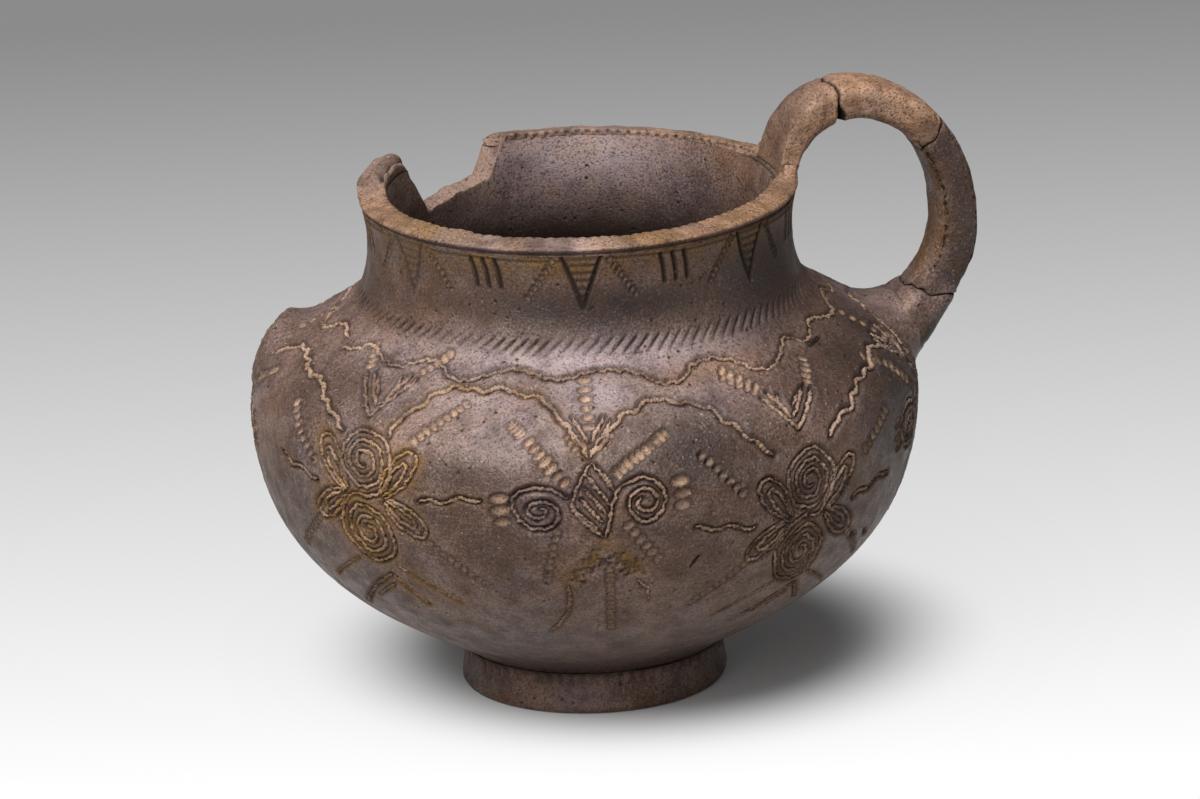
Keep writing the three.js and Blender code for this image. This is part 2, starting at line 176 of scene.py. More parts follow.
def fired_clay(name, body, cloud, warm, grit, gloss, matt, wipe=(0.7, 0.7, 14), pores=2.8):
    """Low-fired earthenware, rubbed with a pebble while leather-hard and smoked in an open fire.
    To the eye: clouds of two body colours a few centimetres wide, lilac and brown mottling, a salt and
    pepper of sand and soot, small dark pores, faint wiping marks and a soft gloss left by the burnish.
    Carving reads as dark dirt with painted shade in its troughs, pale paste and ochre; broken faces are
    paler and matt."""
    material = bpy.data.materials.new(name)
    material.use_nodes = True
    tree = material.node_tree
    tree.nodes.clear()
    here = add(tree, "ShaderNodeTexCoord").outputs["Object"]
    wiped = add(tree, "ShaderNodeMapping", {"Vector": here, "Scale": wipe}).outputs[0]
    clouds, mottle, lilac, grain, wiping = (
        add(tree, "ShaderNodeTexNoise",
            {"Vector": at, "Scale": 1000 / size, "Detail": detail, "Roughness": 0.6}).outputs[0]
        for at, size, detail in ((here, 46, 3), (here, 6, 5), (here, 17, 4), (here, 0.62, 3), (wiped, 14, 4))
    )
    sand, pore = (
        add(tree, "ShaderNodeTexVoronoi", {"Vector": here, "Scale": 1000 / size}) for size in (1.0, pores)
    )
    picked = {
        key: add(tree, "ShaderNodeSeparateColor", {"Color": cells.outputs["Color"]}).outputs[0]
        for key, cells in (("sand", sand), ("pore", pore))
    }
    spans = {
        "cloud": (clouds, 0.42, 0.6, 0, 1),
        "mottled": (mottle, 0.42, 0.68, 0, 0.75),
        "lilac": (lilac, 0.48, 0.66, 0, 0.65),
        "salt": (grain, 0.52, 0.7, 0, 0.56),
        "speck": (grain, 0.58, 0.74, 0, 0.38),
        "chalky": (mottle, 0.5, 0.3, 0, 0.35),
        "pepper": (grain, 0.5, 0.31, 0, 0.86),
        "wiped": (wiping, 0.54, 0.72, 0, 0.45),
        "sand grain": (sand.outputs["Distance"], 0.14, 0.28, 1, 0),
        "sand chosen": (picked["sand"], 0.7, 1.0, 0, grit),
        "pore": (pore.outputs["Distance"], 0.1, 0.2, 1, 0),
        "pore chosen": (picked["pore"], 0.6, 0.7, 0, 0.85),
        "patchy": (mottle, 0.38, 0.6, 0.3, 1),
    }
    span = {
        key: add(tree, "ShaderNodeMapRange", {0: value, 1: low, 2: high, 3: first, 4: last}).outputs[0]
        for key, (value, low, high, first, last) in spans.items()
    }
    share = {
        key: add(tree, "ShaderNodeAttribute", attribute_name=key).outputs["Fac"]
        for key in ("dirt", "paste", "ochre", "fresh", "warm", "smoke", "bloom")
    }
    both = {
        key: add(tree, "ShaderNodeMath", {0: first, 1: second}, operation="MULTIPLY").outputs[0]
        for key, first, second in (
            ("sand", span["sand grain"], span["sand chosen"]),
            ("pore", span["pore"], span["pore chosen"]),
            ("paste", share["paste"], span["patchy"]),
            ("ochre", share["ochre"], span["patchy"]),
            ("warm", share["warm"], span["patchy"]),
            ("bloom", share["bloom"], span["patchy"]),
        )
    }
    colour = linear(body)
    # The bloom layer also paints a sheen of the light, the smoke layer also paints shade, and the dirt layer
    # also paints the shade of the carving's troughs.
    for factor, layer in (
        (span["cloud"], cloud), (both["warm"], warm), (both["bloom"], 0xC2B0B5),
        (span["lilac"], 0x5C4E56), (span["wiped"], 0x86705F), (span["chalky"], 0x947F72),
        (span["salt"], 0xA48E7E), (share["smoke"], 0x1F1717), (span["speck"], 0x8E7260),
        (span["mottled"], 0x4A3529), (share["fresh"], 0x846C5F), (both["ochre"], 0x8E6A30),
        (share["dirt"], 0x22160F), (both["paste"], 0xB4937A), (span["pepper"], 0x2A1D16),
        (both["sand"], 0xC8B8AB), (both["pore"], 0x1E140F),
    ):
        mix = add(tree, "ShaderNodeMix", {0: factor, 6: colour, 7: linear(layer)}, data_type="RGBA")
        colour = mix.outputs[2]
    worn = add(tree, "ShaderNodeMath", {0: share["fresh"], 1: share["dirt"]}, operation="MAXIMUM").outputs[0]
    shine = add(tree, "ShaderNodeMapRange", {0: mottle, 1: 0.3, 2: 0.7, 3: gloss, 4: matt}).outputs[0]
    rubbed = add(tree, "ShaderNodeMix", {0: worn, 2: shine, 3: 0.9}).outputs[0]
    pitted = add(tree, "ShaderNodeMath", {0: grain, 1: both["pore"]}, operation="SUBTRACT").outputs[0]
    ridged = add(tree, "ShaderNodeBump", {"Height": wiping, "Distance": 0.0003, "Strength": 0.5}).outputs[0]
    bumped = add(tree, "ShaderNodeBump", {
        "Height": pitted, "Distance": 0.00032, "Strength": 0.85, "Normal": ridged})
    shader = add(tree, "ShaderNodeBsdfPrincipled", {
        "Base Color": colour, "Roughness": rubbed, "Normal": bumped.outputs[0], "Specular IOR Level": 0.33})
    add(tree, "ShaderNodeOutputMaterial", {"Surface": shader.outputs[0]})
    return material


def notches(angle, arc, level, height, pitch, radius, lean, depth, sharp=3):
    """Row of slanting nicks round the jar: a cosine comb, sharpened, that leans with height, fades to
    both sides of its level and is pressed in unevenly."""
    count = np.round(2 * np.pi * radius / pitch)
    comb = 0.5 + 0.5 * np.cos(count * angle + lean * (arc - level) + 0.6 * np.sin(9 * angle))
    uneven = depth * (0.75 + 0.25 * np.sin(11 * angle))
    return uneven * comb ** sharp * np.exp(-((arc - level) / height) ** 4)


def patches(angle, arc, *places):
    """Share of a stain on the wall: rounded patches, each its strength times exp(-(x/w)^2 - (y/h)^2),
    given as (degrees, arc, half width, half height, strength)."""
    total = np.zeros(np.broadcast(angle, arc).shape)
    for x, y, wide, tall, strength in places:
        away = (np.degrees(angle - viewer_side) - x + 180) % 360 - 180
        total = np.maximum(total, strength * np.exp(-(away / wide) ** 2 - ((arc - y) / tall) ** 2))
    return total


smoke_clouds = (
    (20, 10, 15, 11, 0.85), (5, 51.5, 50, 7.5, 1.0), (62, 52, 34, 18, 0.95), (64, 20, 16, 14, 0.85),
    (82, 20, 12, 16, 0.9), (72, 8, 18, 28, 0.85), (50, 18, 12, 12, 0.7), (-60, 17, 15, 14, 0.55),
    (-97, 14, 12, 10, 0.4), (-66, -10, 14, 22, 0.35), (-34, 51, 30, 6, 0.7), (-25, -6, 11, 9, 0.4),
    (-23, 4, 8, 6, 0.55), (-16, -13, 9, 8, 0.5), (7, 6, 5, 6, 0.7), (15, -12, 9, 9, 0.45),
    (150, 0, 30, 25, 0.5), (232, 8, 24, 20, 0.5), (195, 52, 40, 12, 0.6), (128, 50, 40, 9, 0.6),
    (290, 48, 40, 9, 0.6))
# Pale lilac bloom of the burnish; its strongest patches, on the front of the shoulder, are a painted sheen
# of the light.
lilac_blooms = (
    (-13, 15, 8, 8, 0.4), (1, 27, 9, 7, 1.1), (-26, 25, 18, 6, 0.45), (-50, 34, 16, 7, 0.4),
    (4, 38.5, 42, 5, 1.0), (22, 24, 12, 6, 0.4), (115, 22, 20, 12, 0.5), (190, 22, 24, 12, 0.5))
warm_stains = (
    (28, 33, 14, 5, 0.9), (-30, 40, 60, 4, 0.35), (150, 36, 60, 6, 0.5), (-42, -4, 12, 20, 0.5),
    (46, -12, 12, 18, 0.5), (-72, -2, 10, 16, 0.6), (2.8, -20, 8, 8, 0.9), (0, -38, 150, 12, 0.45),
    (62, -8, 9, 14, 0.6))

burnished_brown = fired_clay(
    "burnished_brown_clay", 0x7C5C4B, 0x6C5043, 0x90694B, grit=0.4, gloss=0.36, matt=0.6)

base_angle = np.linspace(0, 2 * np.pi, 400, endpoint=False)[None, :]
belly_start = -46.0
underside = np.linspace(0, 1, 22)[:, None]
underside_turn = np.array((23.95, bowl_bottom))
underside_line = underside ** 2 * np.array(bowl_join) + 2 * underside * (1 - underside) * underside_turn
underside_line[:, 1] += (1 - underside[:, 0]) ** 2 * bowl_bottom
base_rise = np.linspace(foot_arc, belly_start, 90)[1:]
base_back = np.linspace(belly_start, 0, 12)
base_inside = np.linspace(0, foot_arc, 70)
base_line = np.vstack([
    underside_line, np.stack(vessel(base_rise), -1), np.stack(vessel(base_back, 3.0), -1),
    np.stack(vessel(base_inside, wall), -1), underside_line[-2::-1] + (0, wall)])
base_outer = slice(len(underside_line), len(underside_line) + len(base_rise))
base_nick = notches(
    base_angle, base_rise[:, None],
    level=foot_arc + 0.8, height=1.0, pitch=2.9, radius=34, lean=0.2, depth=0.4)
base_push = np.zeros((len(base_line), base_angle.size))
base_push[base_outer] = outside_wobble(base_angle, base_rise[:, None]) - base_nick
base_dirt = np.zeros_like(base_push)
base_dirt[base_outer] = 0.9 * base_nick + 0.35 * np.exp(-((base_rise[:, None] - foot_arc) / 3) ** 2)
# The base darkens toward the bottom, below a height of about 11 mm.
bowl_base = surface(
    "bowl_base", turned(base_angle, base_line[:, :1] + 0.8 * base_push, base_line[:, 1:] - 0.6 * base_push),
    burnished_brown, poles=(True, True), dirt=base_dirt,
    smoke=0.65 * np.exp(-(np.maximum(base_line[:, 1:] - 11, 0) / 9) ** 2))
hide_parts("lower_bowl")

# Belly band: the upper, widest part of the bowl, with the lower half of the carved ornament.
# The drawing was cut into the leather-hard clay with a point and a comb: paired volutes with leaves,
# crossed sprays, garlands, waves and stamped rows, their lines left as pale ridges in dark troughs.
# A drawing is laid out in degrees to the right of the viewer's side and in arc length above the belly.
degree = np.radians(1) * belly_radius
path_step = 0.25
cuts = []
stamps = []


def lengthened(corners):
    """The same corners with one more at each end, as far on as the last step."""
    return np.vstack([2 * corners[0] - corners[1], corners, 2 * corners[-1] - corners[-2]])


def through(corners, count):
    """Catmull-Rom cubics through all corners but the outer two, with count points to a span: for four
    corners a, b, c, d in a row, half of 2b + (c-a) t + (2a-5b+4c-d) t^2 + (3b-a-3c+d) t^3."""
    t = np.linspace(0, 1, count, endpoint=False)[None, :, None]
    a, b, c, d = (corners[k:len(corners) - 3 + k, None] for k in range(4))
    path = 2 * b + (c - a) * t + (2 * a - 5 * b + 4 * c - d) * t ** 2
    return (0.5 * (path + (3 * b - a - 3 * c + d) * t ** 3)).reshape(-1, 2)


def bent(*corners):
    """Smooth path through corners, with its points one even step apart along it."""
    corners = np.array(corners, float)
    path = np.vstack([through(lengthened(corners), 40), corners[-1:]])
    length = np.concatenate([[0], np.cumsum(np.hypot(*(np.diff(path, axis=0) * (degree, 1)).T))])
    even = np.arange(0, length[-1], path_step)
    return np.stack([np.interp(even, length, path[:, k]) for k in (0, 1)], -1)


def rippled(path, swing, length):
    """The same path swung from side to side by a sine of the distance along it."""
    along = path_step * np.arange(len(path))[:, None]
    heading = np.gradient(path * (degree, 1), axis=0)
    heading /= np.linalg.norm(heading, axis=1)[:, None]
    side = np.stack([-heading[:, 1] / degree, heading[:, 0]], -1)
    return path + swing * np.sin(2 * np.pi * along / length) * side


def cut(path, half=1.15, depth=0.8, ridge=0.5, ochre=0.0):
    """Keeps one incised line: half width and depth of its trough, half width of its pale ridge."""
    cuts.append((path, half, depth, ridge, ochre))


def volute(x, y, wide, tall, turns, start, **line):
    """Spiral line: an ellipse whose size falls evenly from 1 to 0.14 as it winds in, drawn unsteadily."""
    t = np.linspace(0, 1, 90)
    turn = np.radians(start) + 2 * np.pi * turns * t
    size = (1 - 0.86 * t) * (1 + 0.05 * np.sin(2 * turn + x) + 0.03 * np.sin(5 * turn + y))
    corners = np.stack([x + wide * size * np.cos(turn) / degree, y + tall * size * np.sin(turn)], -1)
    cut(bent(*corners), **line)


def stamped(first, last, count, long=1.15, short=0.75, depth=0.6, ochre=0.0):
    """Row of impressions from one point to another, each set across the row."""
    t = np.linspace(0, 1, count)
    lean = np.arctan2(last[1] - first[1], (last[0] - first[0]) * degree)
    for x, y in np.stack([np.interp(t, (0, 1), (first[k], last[k])) for k in (0, 1)], -1):
        stamps.append((x, y, lean + np.pi / 2, long, short, depth, ochre))


def leaf(root, tip, width, **line):
    """Two nested lines with round ends, like a finger: out along one bowed side, round the tip and back."""
    root, tip = np.array(root, float), np.array(tip, float)
    run = (tip - root) * (degree, 1)
    side = width / np.linalg.norm(run) * np.array((-run[1] / degree, run[0]))
    for share in (1.0, 0.45):
        far = root + (0.62 + 0.38 * share) * (tip - root)
        middle = root + 0.55 * (far - root)
        cut(bent(
            root + 0.3 * share * side, middle + share * side, far + 0.7 * share * side,
            far + 0.12 * share * (tip - root), far - 0.7 * share * side, middle - share * side,
            root - 0.3 * share * side), **line)


def double_volute(x, y, apex, left, right, tall, ochre):
    """One upright motif about a pinch at (x, y): volutes above and below it, four leaves, a barred
    chevron on top, sprays of stamps and waves to both sides, and a second chevron underneath."""
    line = dict(ochre=ochre)
    volute(x, y + 1.06 * tall, 9.0, tall, 3.1, -95, ochre=0.4 * ochre)
    volute(x, y - 1.0 * tall, 9.4, 1.1 * tall, 3.1, 85, **line)
    for hand in (-1, 1):
        leaf((x + 4.0 * hand, y + 1.5), (x + 9.6 * hand, y + 12), 3.1, **line)
        leaf((x + 4.6 * hand, y + 0.5), (x + 11.2 * hand, y - 6.5), 3.0, **line)
        wave = bent((x + 11.5 * hand, y + 1.5), (x + 17.5 * hand, y + 3), (x + 23 * hand, y + 4))
        cut(rippled(wave, 0.6, 9), 1.1, 0.8, 0.55, ochre=0.3 * ochre)
        stamped((x + 10.5 * hand, y - 6.5), (x + 22 * hand, y - 20), 11, 1.0, 0.95, 0.35)
        stem = bent((x + 4.5 * hand, y - 18), (x + 10 * hand, y - 22.5), (x + 16 * hand, y - 28))
        cut(stem, 0.8, 0.4, 0.4, **line)
    for end, lean in ((left, -1), (right, 1)):
        inner = (apex[0] + 0.35 * lean, apex[1] + 3.6)
        tip = (end[0] - 1.9 * lean, end[1] + 1.2)
        cut(bent(apex, end), 1.2, 0.85, 0.6, ochre=0.1 * ochre)
        cut(bent(inner, tip), 1.2, 0.85, 0.6, ochre=0.1 * ochre)
        cut(bent((inner[0] + 1.1 * lean, inner[1] + 3), (tip[0] - 1.9 * lean, tip[1] - 1)), 1.0, 0.7, 0.5)
        spray = (end[0] + 0.5 * lean, end[1] + 2.5), (end[0] + 5 * lean, end[1] + 9)
        stamped(*spray, 5, 1.5, 0.95, 0.65, 0.3 * ochre)
    cut(bent((x + 2.2, y - 21.5), (x - 4, y - 27.5), (x - 13, y - 38)), 1.2, 0.65, 0.65, ochre=0.7 * ochre)
    cut(bent((x + 1.6, y - 25), (x - 5, y - 31.5)), 0.9, 0.5, 0.5, **line)
    cut(bent((x + 2.6, y - 21.5), (x + 8, y - 31)), 1.0, 0.5, 0.55, **line)


def crossed_sprays(x):
    """One crossed motif: a barred X with a hatched lozenge below it, small volutes to both sides with
    three finger dots each, stamped rows above and a barred skirt running down to the foot."""
    curl = (
        (0.5, -11.5), (1.3, -8), (2.1, -2), (3.3, 1), (5.8, 3), (7.8, 3.3), (9.8, 1.5), (11, -2),
        (10.6, -5), (8.8, -7.5), (7.1, -8), (5.6, -6.5), (4.7, -3.5), (5.3, -1), (6.8, 0.5), (8.6, 0),
        (9.6, -2), (9.3, -4.2), (7.8, -5.2), (6.4, -4.3), (6, -2.8), (6.8, -1.9))
    left_curl = (
        (-5.6, -1), (-7.2, 0.4), (-9.2, 1.4), (-11.7, 1.6), (-14.2, 0.2), (-15.2, -2.5), (-14.2, -6),
        (-12.4, -8.6), (-10.2, -9), (-7.9, -7.8), (-7.2, -5), (-8.2, -2.6), (-9.7, -1.9), (-11.4, -2.2),
        (-12.5, -3.6), (-12.3, -5.2), (-11, -6.2), (-9.6, -5.6), (-9.3, -4.2), (-10.4, -3.6))
    for line in (curl, left_curl):
        cut(bent(*np.array(line) + (x, 0)), 1.25, 0.95, 0.5)
    for top, side in ((1.7, 13.5), (-1.0, -17.2)):
        for k in range(3):
            stamps.append((x + side + 0.2 * k, top - 3.0 * k, 0.12, 2.2, 1.3, 0.8, 0.2))
    for lean in (-1, 1):
        bar = bent((x - 1.7, 10.4), (x - 1.7 + 2.2 * lean, 14.5), (x - 1.7 + 4.4 * lean, 19.5))
        cut(bar, 1.1, 0.85, 0.62)
        cut(bent((x - 1.6 + 0.2 * lean, 13.2), (x - 1.6 + 3 * lean, 20.8)), 1.1, 0.85, 0.62)
        stamped((x - 1.7 + 2.6 * lean, 11.5), (x - 1.7 + 4 * lean, 15), 3, 1.0, 0.7, 0.55)
    lozenge = bent((x - 1.6, 7.8), (x - 3.4, 3), (x - 4.9, -2.4), (x - 3.4, -6.5), (x + 0.2, -11.6))
    cut(lozenge, 1.1, 0.8, 0.6)
    cut(bent((x - 1.4, 7.8), (x + 1, 3.6), (x + 2.2, 0.6)), 1.1, 0.8, 0.6)
    for k in range(4):
        cut(bent((x - 2.3 - 0.55 * k, 4.6 - 3 * k), (x + 1.7 - 0.75 * k, -3.2 - 2.2 * k)), 1.05, 0.75, 0.66)
    stamped((x - 2.3, 32.5), (x - 1.5, 17.5), 6, 1.6, 1.0, 0.65, 0.4)
    stamped((x - 16.6, 18.8), (x - 14, 15.2), 5, 1.6, 0.55, 0.7, 0.2)
    stamped((x - 12.4, 13.4), (x - 6.2, 3.2), 7, 1.8, 1.0, 0.85, 0.25)
    cut(bent((x + 2.4, 4.2), (x + 12.8, 14.8)), 2.1, 0.45, 0)
    stamped((x + 2.9, 5), (x + 12.3, 14.3), 10, 1.6, 0.9, 0.9, 0.15)
    stamped((x + 4.4, -8.6), (x + 9.6, -18.4), 6, 1.4, 1.0, 0.5, 0.05)
    stamped((x - 7.6, -9.5), (x - 10, -24), 8, 1.0, 0.85, 0.25)
    cut(bent((x + 0.8, -13.4), (x - 2, -17.6), (x - 4.8, -21.6), (x - 6, -24)), 2.2, 0.22, 0, ochre=1.4)
    cut(bent((x + 0.8, -13.4), (x + 3, -16.8), (x + 5, -19.6), (x + 6.6, -21.6)), 2.2, 0.22, 0, ochre=1.4)
    cut(bent((x - 6.2, -26), (x - 6.3, -33), (x - 8, -39), (x - 11, -45)), 1.1, 0.4, 0.7, ochre=0.3)
    cut(bent((x + 6.2, -25), (x + 8, -28), (x + 8.6, -33)), 0.8, 0.4, 0.45)
    stamped((x + 1.2, -21), (x + 1.6, -44), 15, 1.15, 0.8, 0.35, 0.35)
    spread = np.random.default_rng(5)
    for side, low in ((-5.8, -24.0), (6.2, -22.0)):
        for down in spread.uniform(0.1, 1, 40):
            across = x + 0.6 + side * down + spread.uniform(-1.4, 1.4)
            level = -16 + (low + 16) * down + spread.uniform(-2.4, 2.4)
            stamps.append((across, level, 0, 0.7, 0.6, 0.6, -0.8))


def garland(start, stop, run, ochre, row, count=9):
    """Broad wavy band from a double volute to a crossing, through (share of the way, arc), and the row of
    stamps beside it, given in degrees from the volute and arc."""
    path = bent(*((start + share * (stop - start), arc) for share, arc in run))
    cut(rippled(path, 0.4, 7.0), 1.45, 0.8, 0.72, ochre=ochre)
    (first, low), (last, high) = row
    stamped((start + first, low), (start + last, high), count, 1.5, 0.9, 0.8, 0.4 * ochre)


volutes = ((-41.2, -5.6, (-43.4, 15.2), (-52.3, 26.6), (-38.7, 29.0), 9.0, 1.0),
           (41.2, -15.4, (39.9, 8.6), (36.1, 19.4), (47.8, 17.6), 9.6, 0.25),
           (129.0, -11.0, (128.6, 11.5), (122.5, 22.5), (134.5, 22.5), 9.3, 0.3),
           (216.0, -9.0, (215.6, 13.0), (209.0, 24.0), (221.0, 24.0), 9.2, 0.4))
crossings = (2.2, 85.0, 172.5, 267.0)
for x, y, apex, left, right, tall, ochre in volutes:
    double_volute(x, y, apex, left, right, tall, ochre)
for x in crossings:
    crossed_sprays(x)
high_run = (
    (0.1, 11), (0.11, 16), (0.17, 21), (0.22, 26), (0.32, 29), (0.46, 28.5), (0.56, 30), (0.65, 28.2),
    (0.76, 27.5), (0.845, 22.5), (0.905, 18), (1, 9))
round_run = (
    (0.19, 4), (0.276, 9), (0.325, 13), (0.374, 16.5), (0.4, 19.5), (0.473, 22), (0.571, 23.5),
    (0.67, 25.3), (0.768, 22.5), (0.855, 20), (0.929, 14), (1, 9))
slow_run = (
    (0.125, 4.5), (0.197, 8), (0.303, 9.3), (0.35, 11.5), (0.445, 14), (0.54, 15.3), (0.635, 15.8),
    (0.75, 19), (0.87, 17), (1, 9))
side_run = (
    (0.119, 10), (0.166, 12), (0.26, 15), (0.317, 17), (0.374, 19.5), (0.449, 20.3), (0.506, 20),
    (0.66, 23), (0.81, 22), (1, 9))
garland(-41.2, 0.5, high_run, 0.6, ((9.7, 11), (17, 23.5)))
garland(-41.2, -94.4, side_run, 0.1, ((-22, 12), (-12, 1)))
garland(41.2, 0.6, round_run, 0.05, ((-4.7, 23), (-9.4, 30.5)), 5)
garland(41.2, 83.5, slow_run, 0.0, ((14, -2), (22, 4.8)), 7)
garland(129.0, 86.5, round_run, 0.2, ((-21.6, 8.5), (-13.7, -3.5)))
garland(129.0, 171.0, slow_run, 0.1, ((14, -2), (22, 4.8)))
garland(216.0, 174.0, high_run, 0.3, ((-9.7, 11), (-17, 23.5)))
garland(216.0, 265.5, side_run, 0.1, ((12, 1), (22, 12)))
for k in range(7):
    stamps.append((20.1 + 1.15 * k, 7.2 - 1.85 * k, 0.8, 1.35, 0.95, 0.5, 0.0))
    stamps.append((19.6 + 1.15 * k, 7.5 - 1.85 * k, 0.8, 0.95, 0.65, 1.0, -0.8))
zigzag = (
    (-67, 30.3), (-63, 32), (-58.5, 34.8), (-52, 32.4), (-46, 31.5), (-41, 34.6), (-36, 35.4),
    (-31, 31.4), (-26, 31.6), (-20, 35), (-14, 35.5), (-8, 33.2), (-5, 33), (2, 35.3), (9, 35.2),
    (14, 33), (16.5, 30.4), (21.5, 30), (25.5, 33.8), (30, 35.2), (36, 33), (40, 28.4), (45, 28),
    (50, 31), (55, 34), (60, 30.3))
for shift in (0, 127, 254):
    top_line = bent(*((x + shift, y) for x, y in zigzag if x + shift < 294))
    cut(rippled(top_line, 0.25, 5), 1.2, 0.7, 0.55, ochre=0.08)
pits = (
    (18.6, -20.6, 1.0, 2.3), (57.0, -26.5, -0.7, 2.2), (62.0, -28.0, -0.7, 2.6), (61.5, 29.2, 0.05, 4.6),
    (46.8, 19.2, 0.4, 1.3), (148.0, -17.0, 0.4, 1.8), (236.0, 12.0, 1.2, 1.6))
for x, y, lean, long in pits:
    stamps.append((x, y, lean, long, 0.7, 1.5, -1.0))


def spread_apart(azimuth, middle):
    """Degrees to the right of a middle, between -180 and 180."""
    return (azimuth - middle + 180) % 360 - 180


def carve(angle, arc):
    """Relief in mm of the drawing on the wall, with the shares of dirt and painted shade, paste and ochre.
    A line lowers the wall by depth (1 - (d/half)^2), d being the distance to its nearest point, and a
    stamp by depth (1 - e^2)^0.6 inside its ellipse; both push up a low burr beside them. A stamp with
    ochre below 0 is a pit: dark all over and without paste."""
    angle, arc = np.broadcast_arrays(angle, arc)
    azimuth = np.degrees(angle - viewer_side).ravel()
    level = arc.ravel()
    scale = np.radians(1) * vessel(level)[0]
    trough, burr, dirt, paste, ochre = np.zeros((5, level.size))
    for path, half, depth, _, tint in cuts:
        middle = 0.5 * (path[:, 0].min() + path[:, 0].max())
        away = spread_apart(azimuth, middle)
        reach = np.ptp(path[:, 0]) / 2 + 3.2
        beside = (level > path[:, 1].min() - 3) & (level < path[:, 1].max() + 3)
        near = np.flatnonzero((np.abs(away) < reach) & beside)
        gap = np.empty(near.size)
        for part in np.array_split(np.arange(near.size), max(1, near.size // 1500)):
            at = near[part]
            across = (away[at, None] - (path[None, ::2, 0] - middle)) * scale[at, None]
            gap[part] = np.sqrt((across ** 2 + (level[at, None] - path[None, ::2, 1]) ** 2).min(1))
        share = np.clip(1 - (gap / half) ** 2, 0, 1)
        trough[near] = np.maximum(trough[near], depth * share)
        burr[near] = np.maximum(burr[near], 0.16 * depth * np.exp(-((gap - 1.5 * half) / (0.5 * half)) ** 2))
        # Dirt and painted shade: the trough and a band beside it are darkened for the shade of the groove.
        dirt[near] = np.maximum(dirt[near], min(1, 1.3 * depth) * np.clip(1.35 - gap / half, 0, 1))
        ochre[near] = np.maximum(ochre[near], 0.6 * tint * np.exp(-(gap / 2.2) ** 2))
    uneven = np.random.default_rng(17).uniform(0.45, 1, (len(stamps), 3))
    for (x, y, lean, long, short, depth, tint), (pale, size, drift) in zip(stamps, uneven):
        x, y = x + 0.4 * drift - 0.3, y + 0.3 * pale - 0.2
        long, short = long * (0.65 + 0.45 * size), short * (0.7 + 0.4 * pale)
        away = spread_apart(azimuth, x)
        near = np.flatnonzero((np.abs(away) < 2.2 * long) & (np.abs(level - y) < 2.2 * long))
        across, up = away[near] * scale[near], level[near] - y
        lengthwise = across * np.cos(lean) + up * np.sin(lean)
        crosswise = up * np.cos(lean) - across * np.sin(lean)
        ring = np.hypot(lengthwise / long, crosswise / short)
        share = np.clip(1 - ring ** 2, 0, 1) ** 0.6
        trough[near] = np.maximum(trough[near], depth * share)
        burr[near] = np.maximum(burr[near], 0.14 * depth * np.exp(-((ring - 1.4) / 0.35) ** 2))
        # Dark ring at a stamp's edge: dirt and painted shade of its rim.
        edge_dirt = np.exp(-((ring - 1.12) / 0.28) ** 2) * 0.85
        dirt[near] = np.maximum(dirt[near], edge_dirt if tint >= 0 else -tint * share)
        filling = min(1, 1.3 * depth) if tint >= 0 else 0
        paste[near] = np.maximum(paste[near], pale * share ** 0.6 * filling)
        paste[near] *= 1 - share * (tint < 0)
        ochre[near] = np.maximum(ochre[near], max(tint, 0) * np.clip(1.6 - ring, 0, 1))
    relief = burr * (trough < 0.05) - trough
    return [value.reshape(arc.shape) for value in (relief, dirt, paste, np.clip(ochre, 0, 1))]


belly_turn = np.linspace(0, 2 * np.pi, 960, endpoint=False)[None, :]
belly_angle = viewer_side + belly_turn - 0.4 * np.sin(belly_turn)


def wall_points(angle, arc, push):
    """Points of the outside pushed out along its normal, on a wall that wobbles as built by hand."""
    push = push + outside_wobble(angle, arc)
    return turned(angle, *vessel(arc, -push))


def closed_band(angle, arc, push, backs):
    """Outer rows followed by the back rows that close the band behind them, given as (arc, depth)."""
    front = wall_points(angle, arc, push)
    back = [turned(angle, *vessel(np.full_like(angle, at), depth)) for at, depth in backs]
    return np.concatenate([front, np.concatenate(back)])


def padded(rows, **shares):
    """The same shares with nothing on the rows that follow."""
    nothing = np.zeros((rows, belly_angle.size))
    return {share: np.concatenate([values, nothing]) for share, values in shares.items()}


def stains(angle, arc):
    """Shares of smoke and warm clay that the fire left on the wall, and of pale bloom, which in places is a
    painted sheen of the light.
    """
    kinds = (("smoke", smoke_clouds), ("bloom", lilac_blooms), ("warm", warm_stains))
    return {share: patches(angle, arc, *places) for share, places in kinds}


def weathered(angle, arc):
    """Worn skin of the wall, in mm: fine noise of 1 to 5 mm, stronger on the shoulder than on the belly."""
    return (0.04 + 0.05 * np.clip((arc - 8) / 12, 0, 1)) * rough(turned(angle, *vessel(arc)), 5, 1.1, 71)


handle_angles = (0.0, np.radians(153))
strap_thickness, root_width, root_thickness = 9.8, 24.0, 12.0
root_height = 83.0
shoulder_order = np.arange(len(shoulder_line))
root_at = np.interp(root_height, shoulder_line[:, 1], shoulder_order)
root_place = np.array([np.interp(root_at, shoulder_order, shoulder_line[:, k]) for k in (0, 1)])
root_slope = np.gradient(shoulder_line, axis=0)[int(root_at)]
root_slope /= np.linalg.norm(root_slope)
root_heading = np.array((-root_slope[1], root_slope[0]))


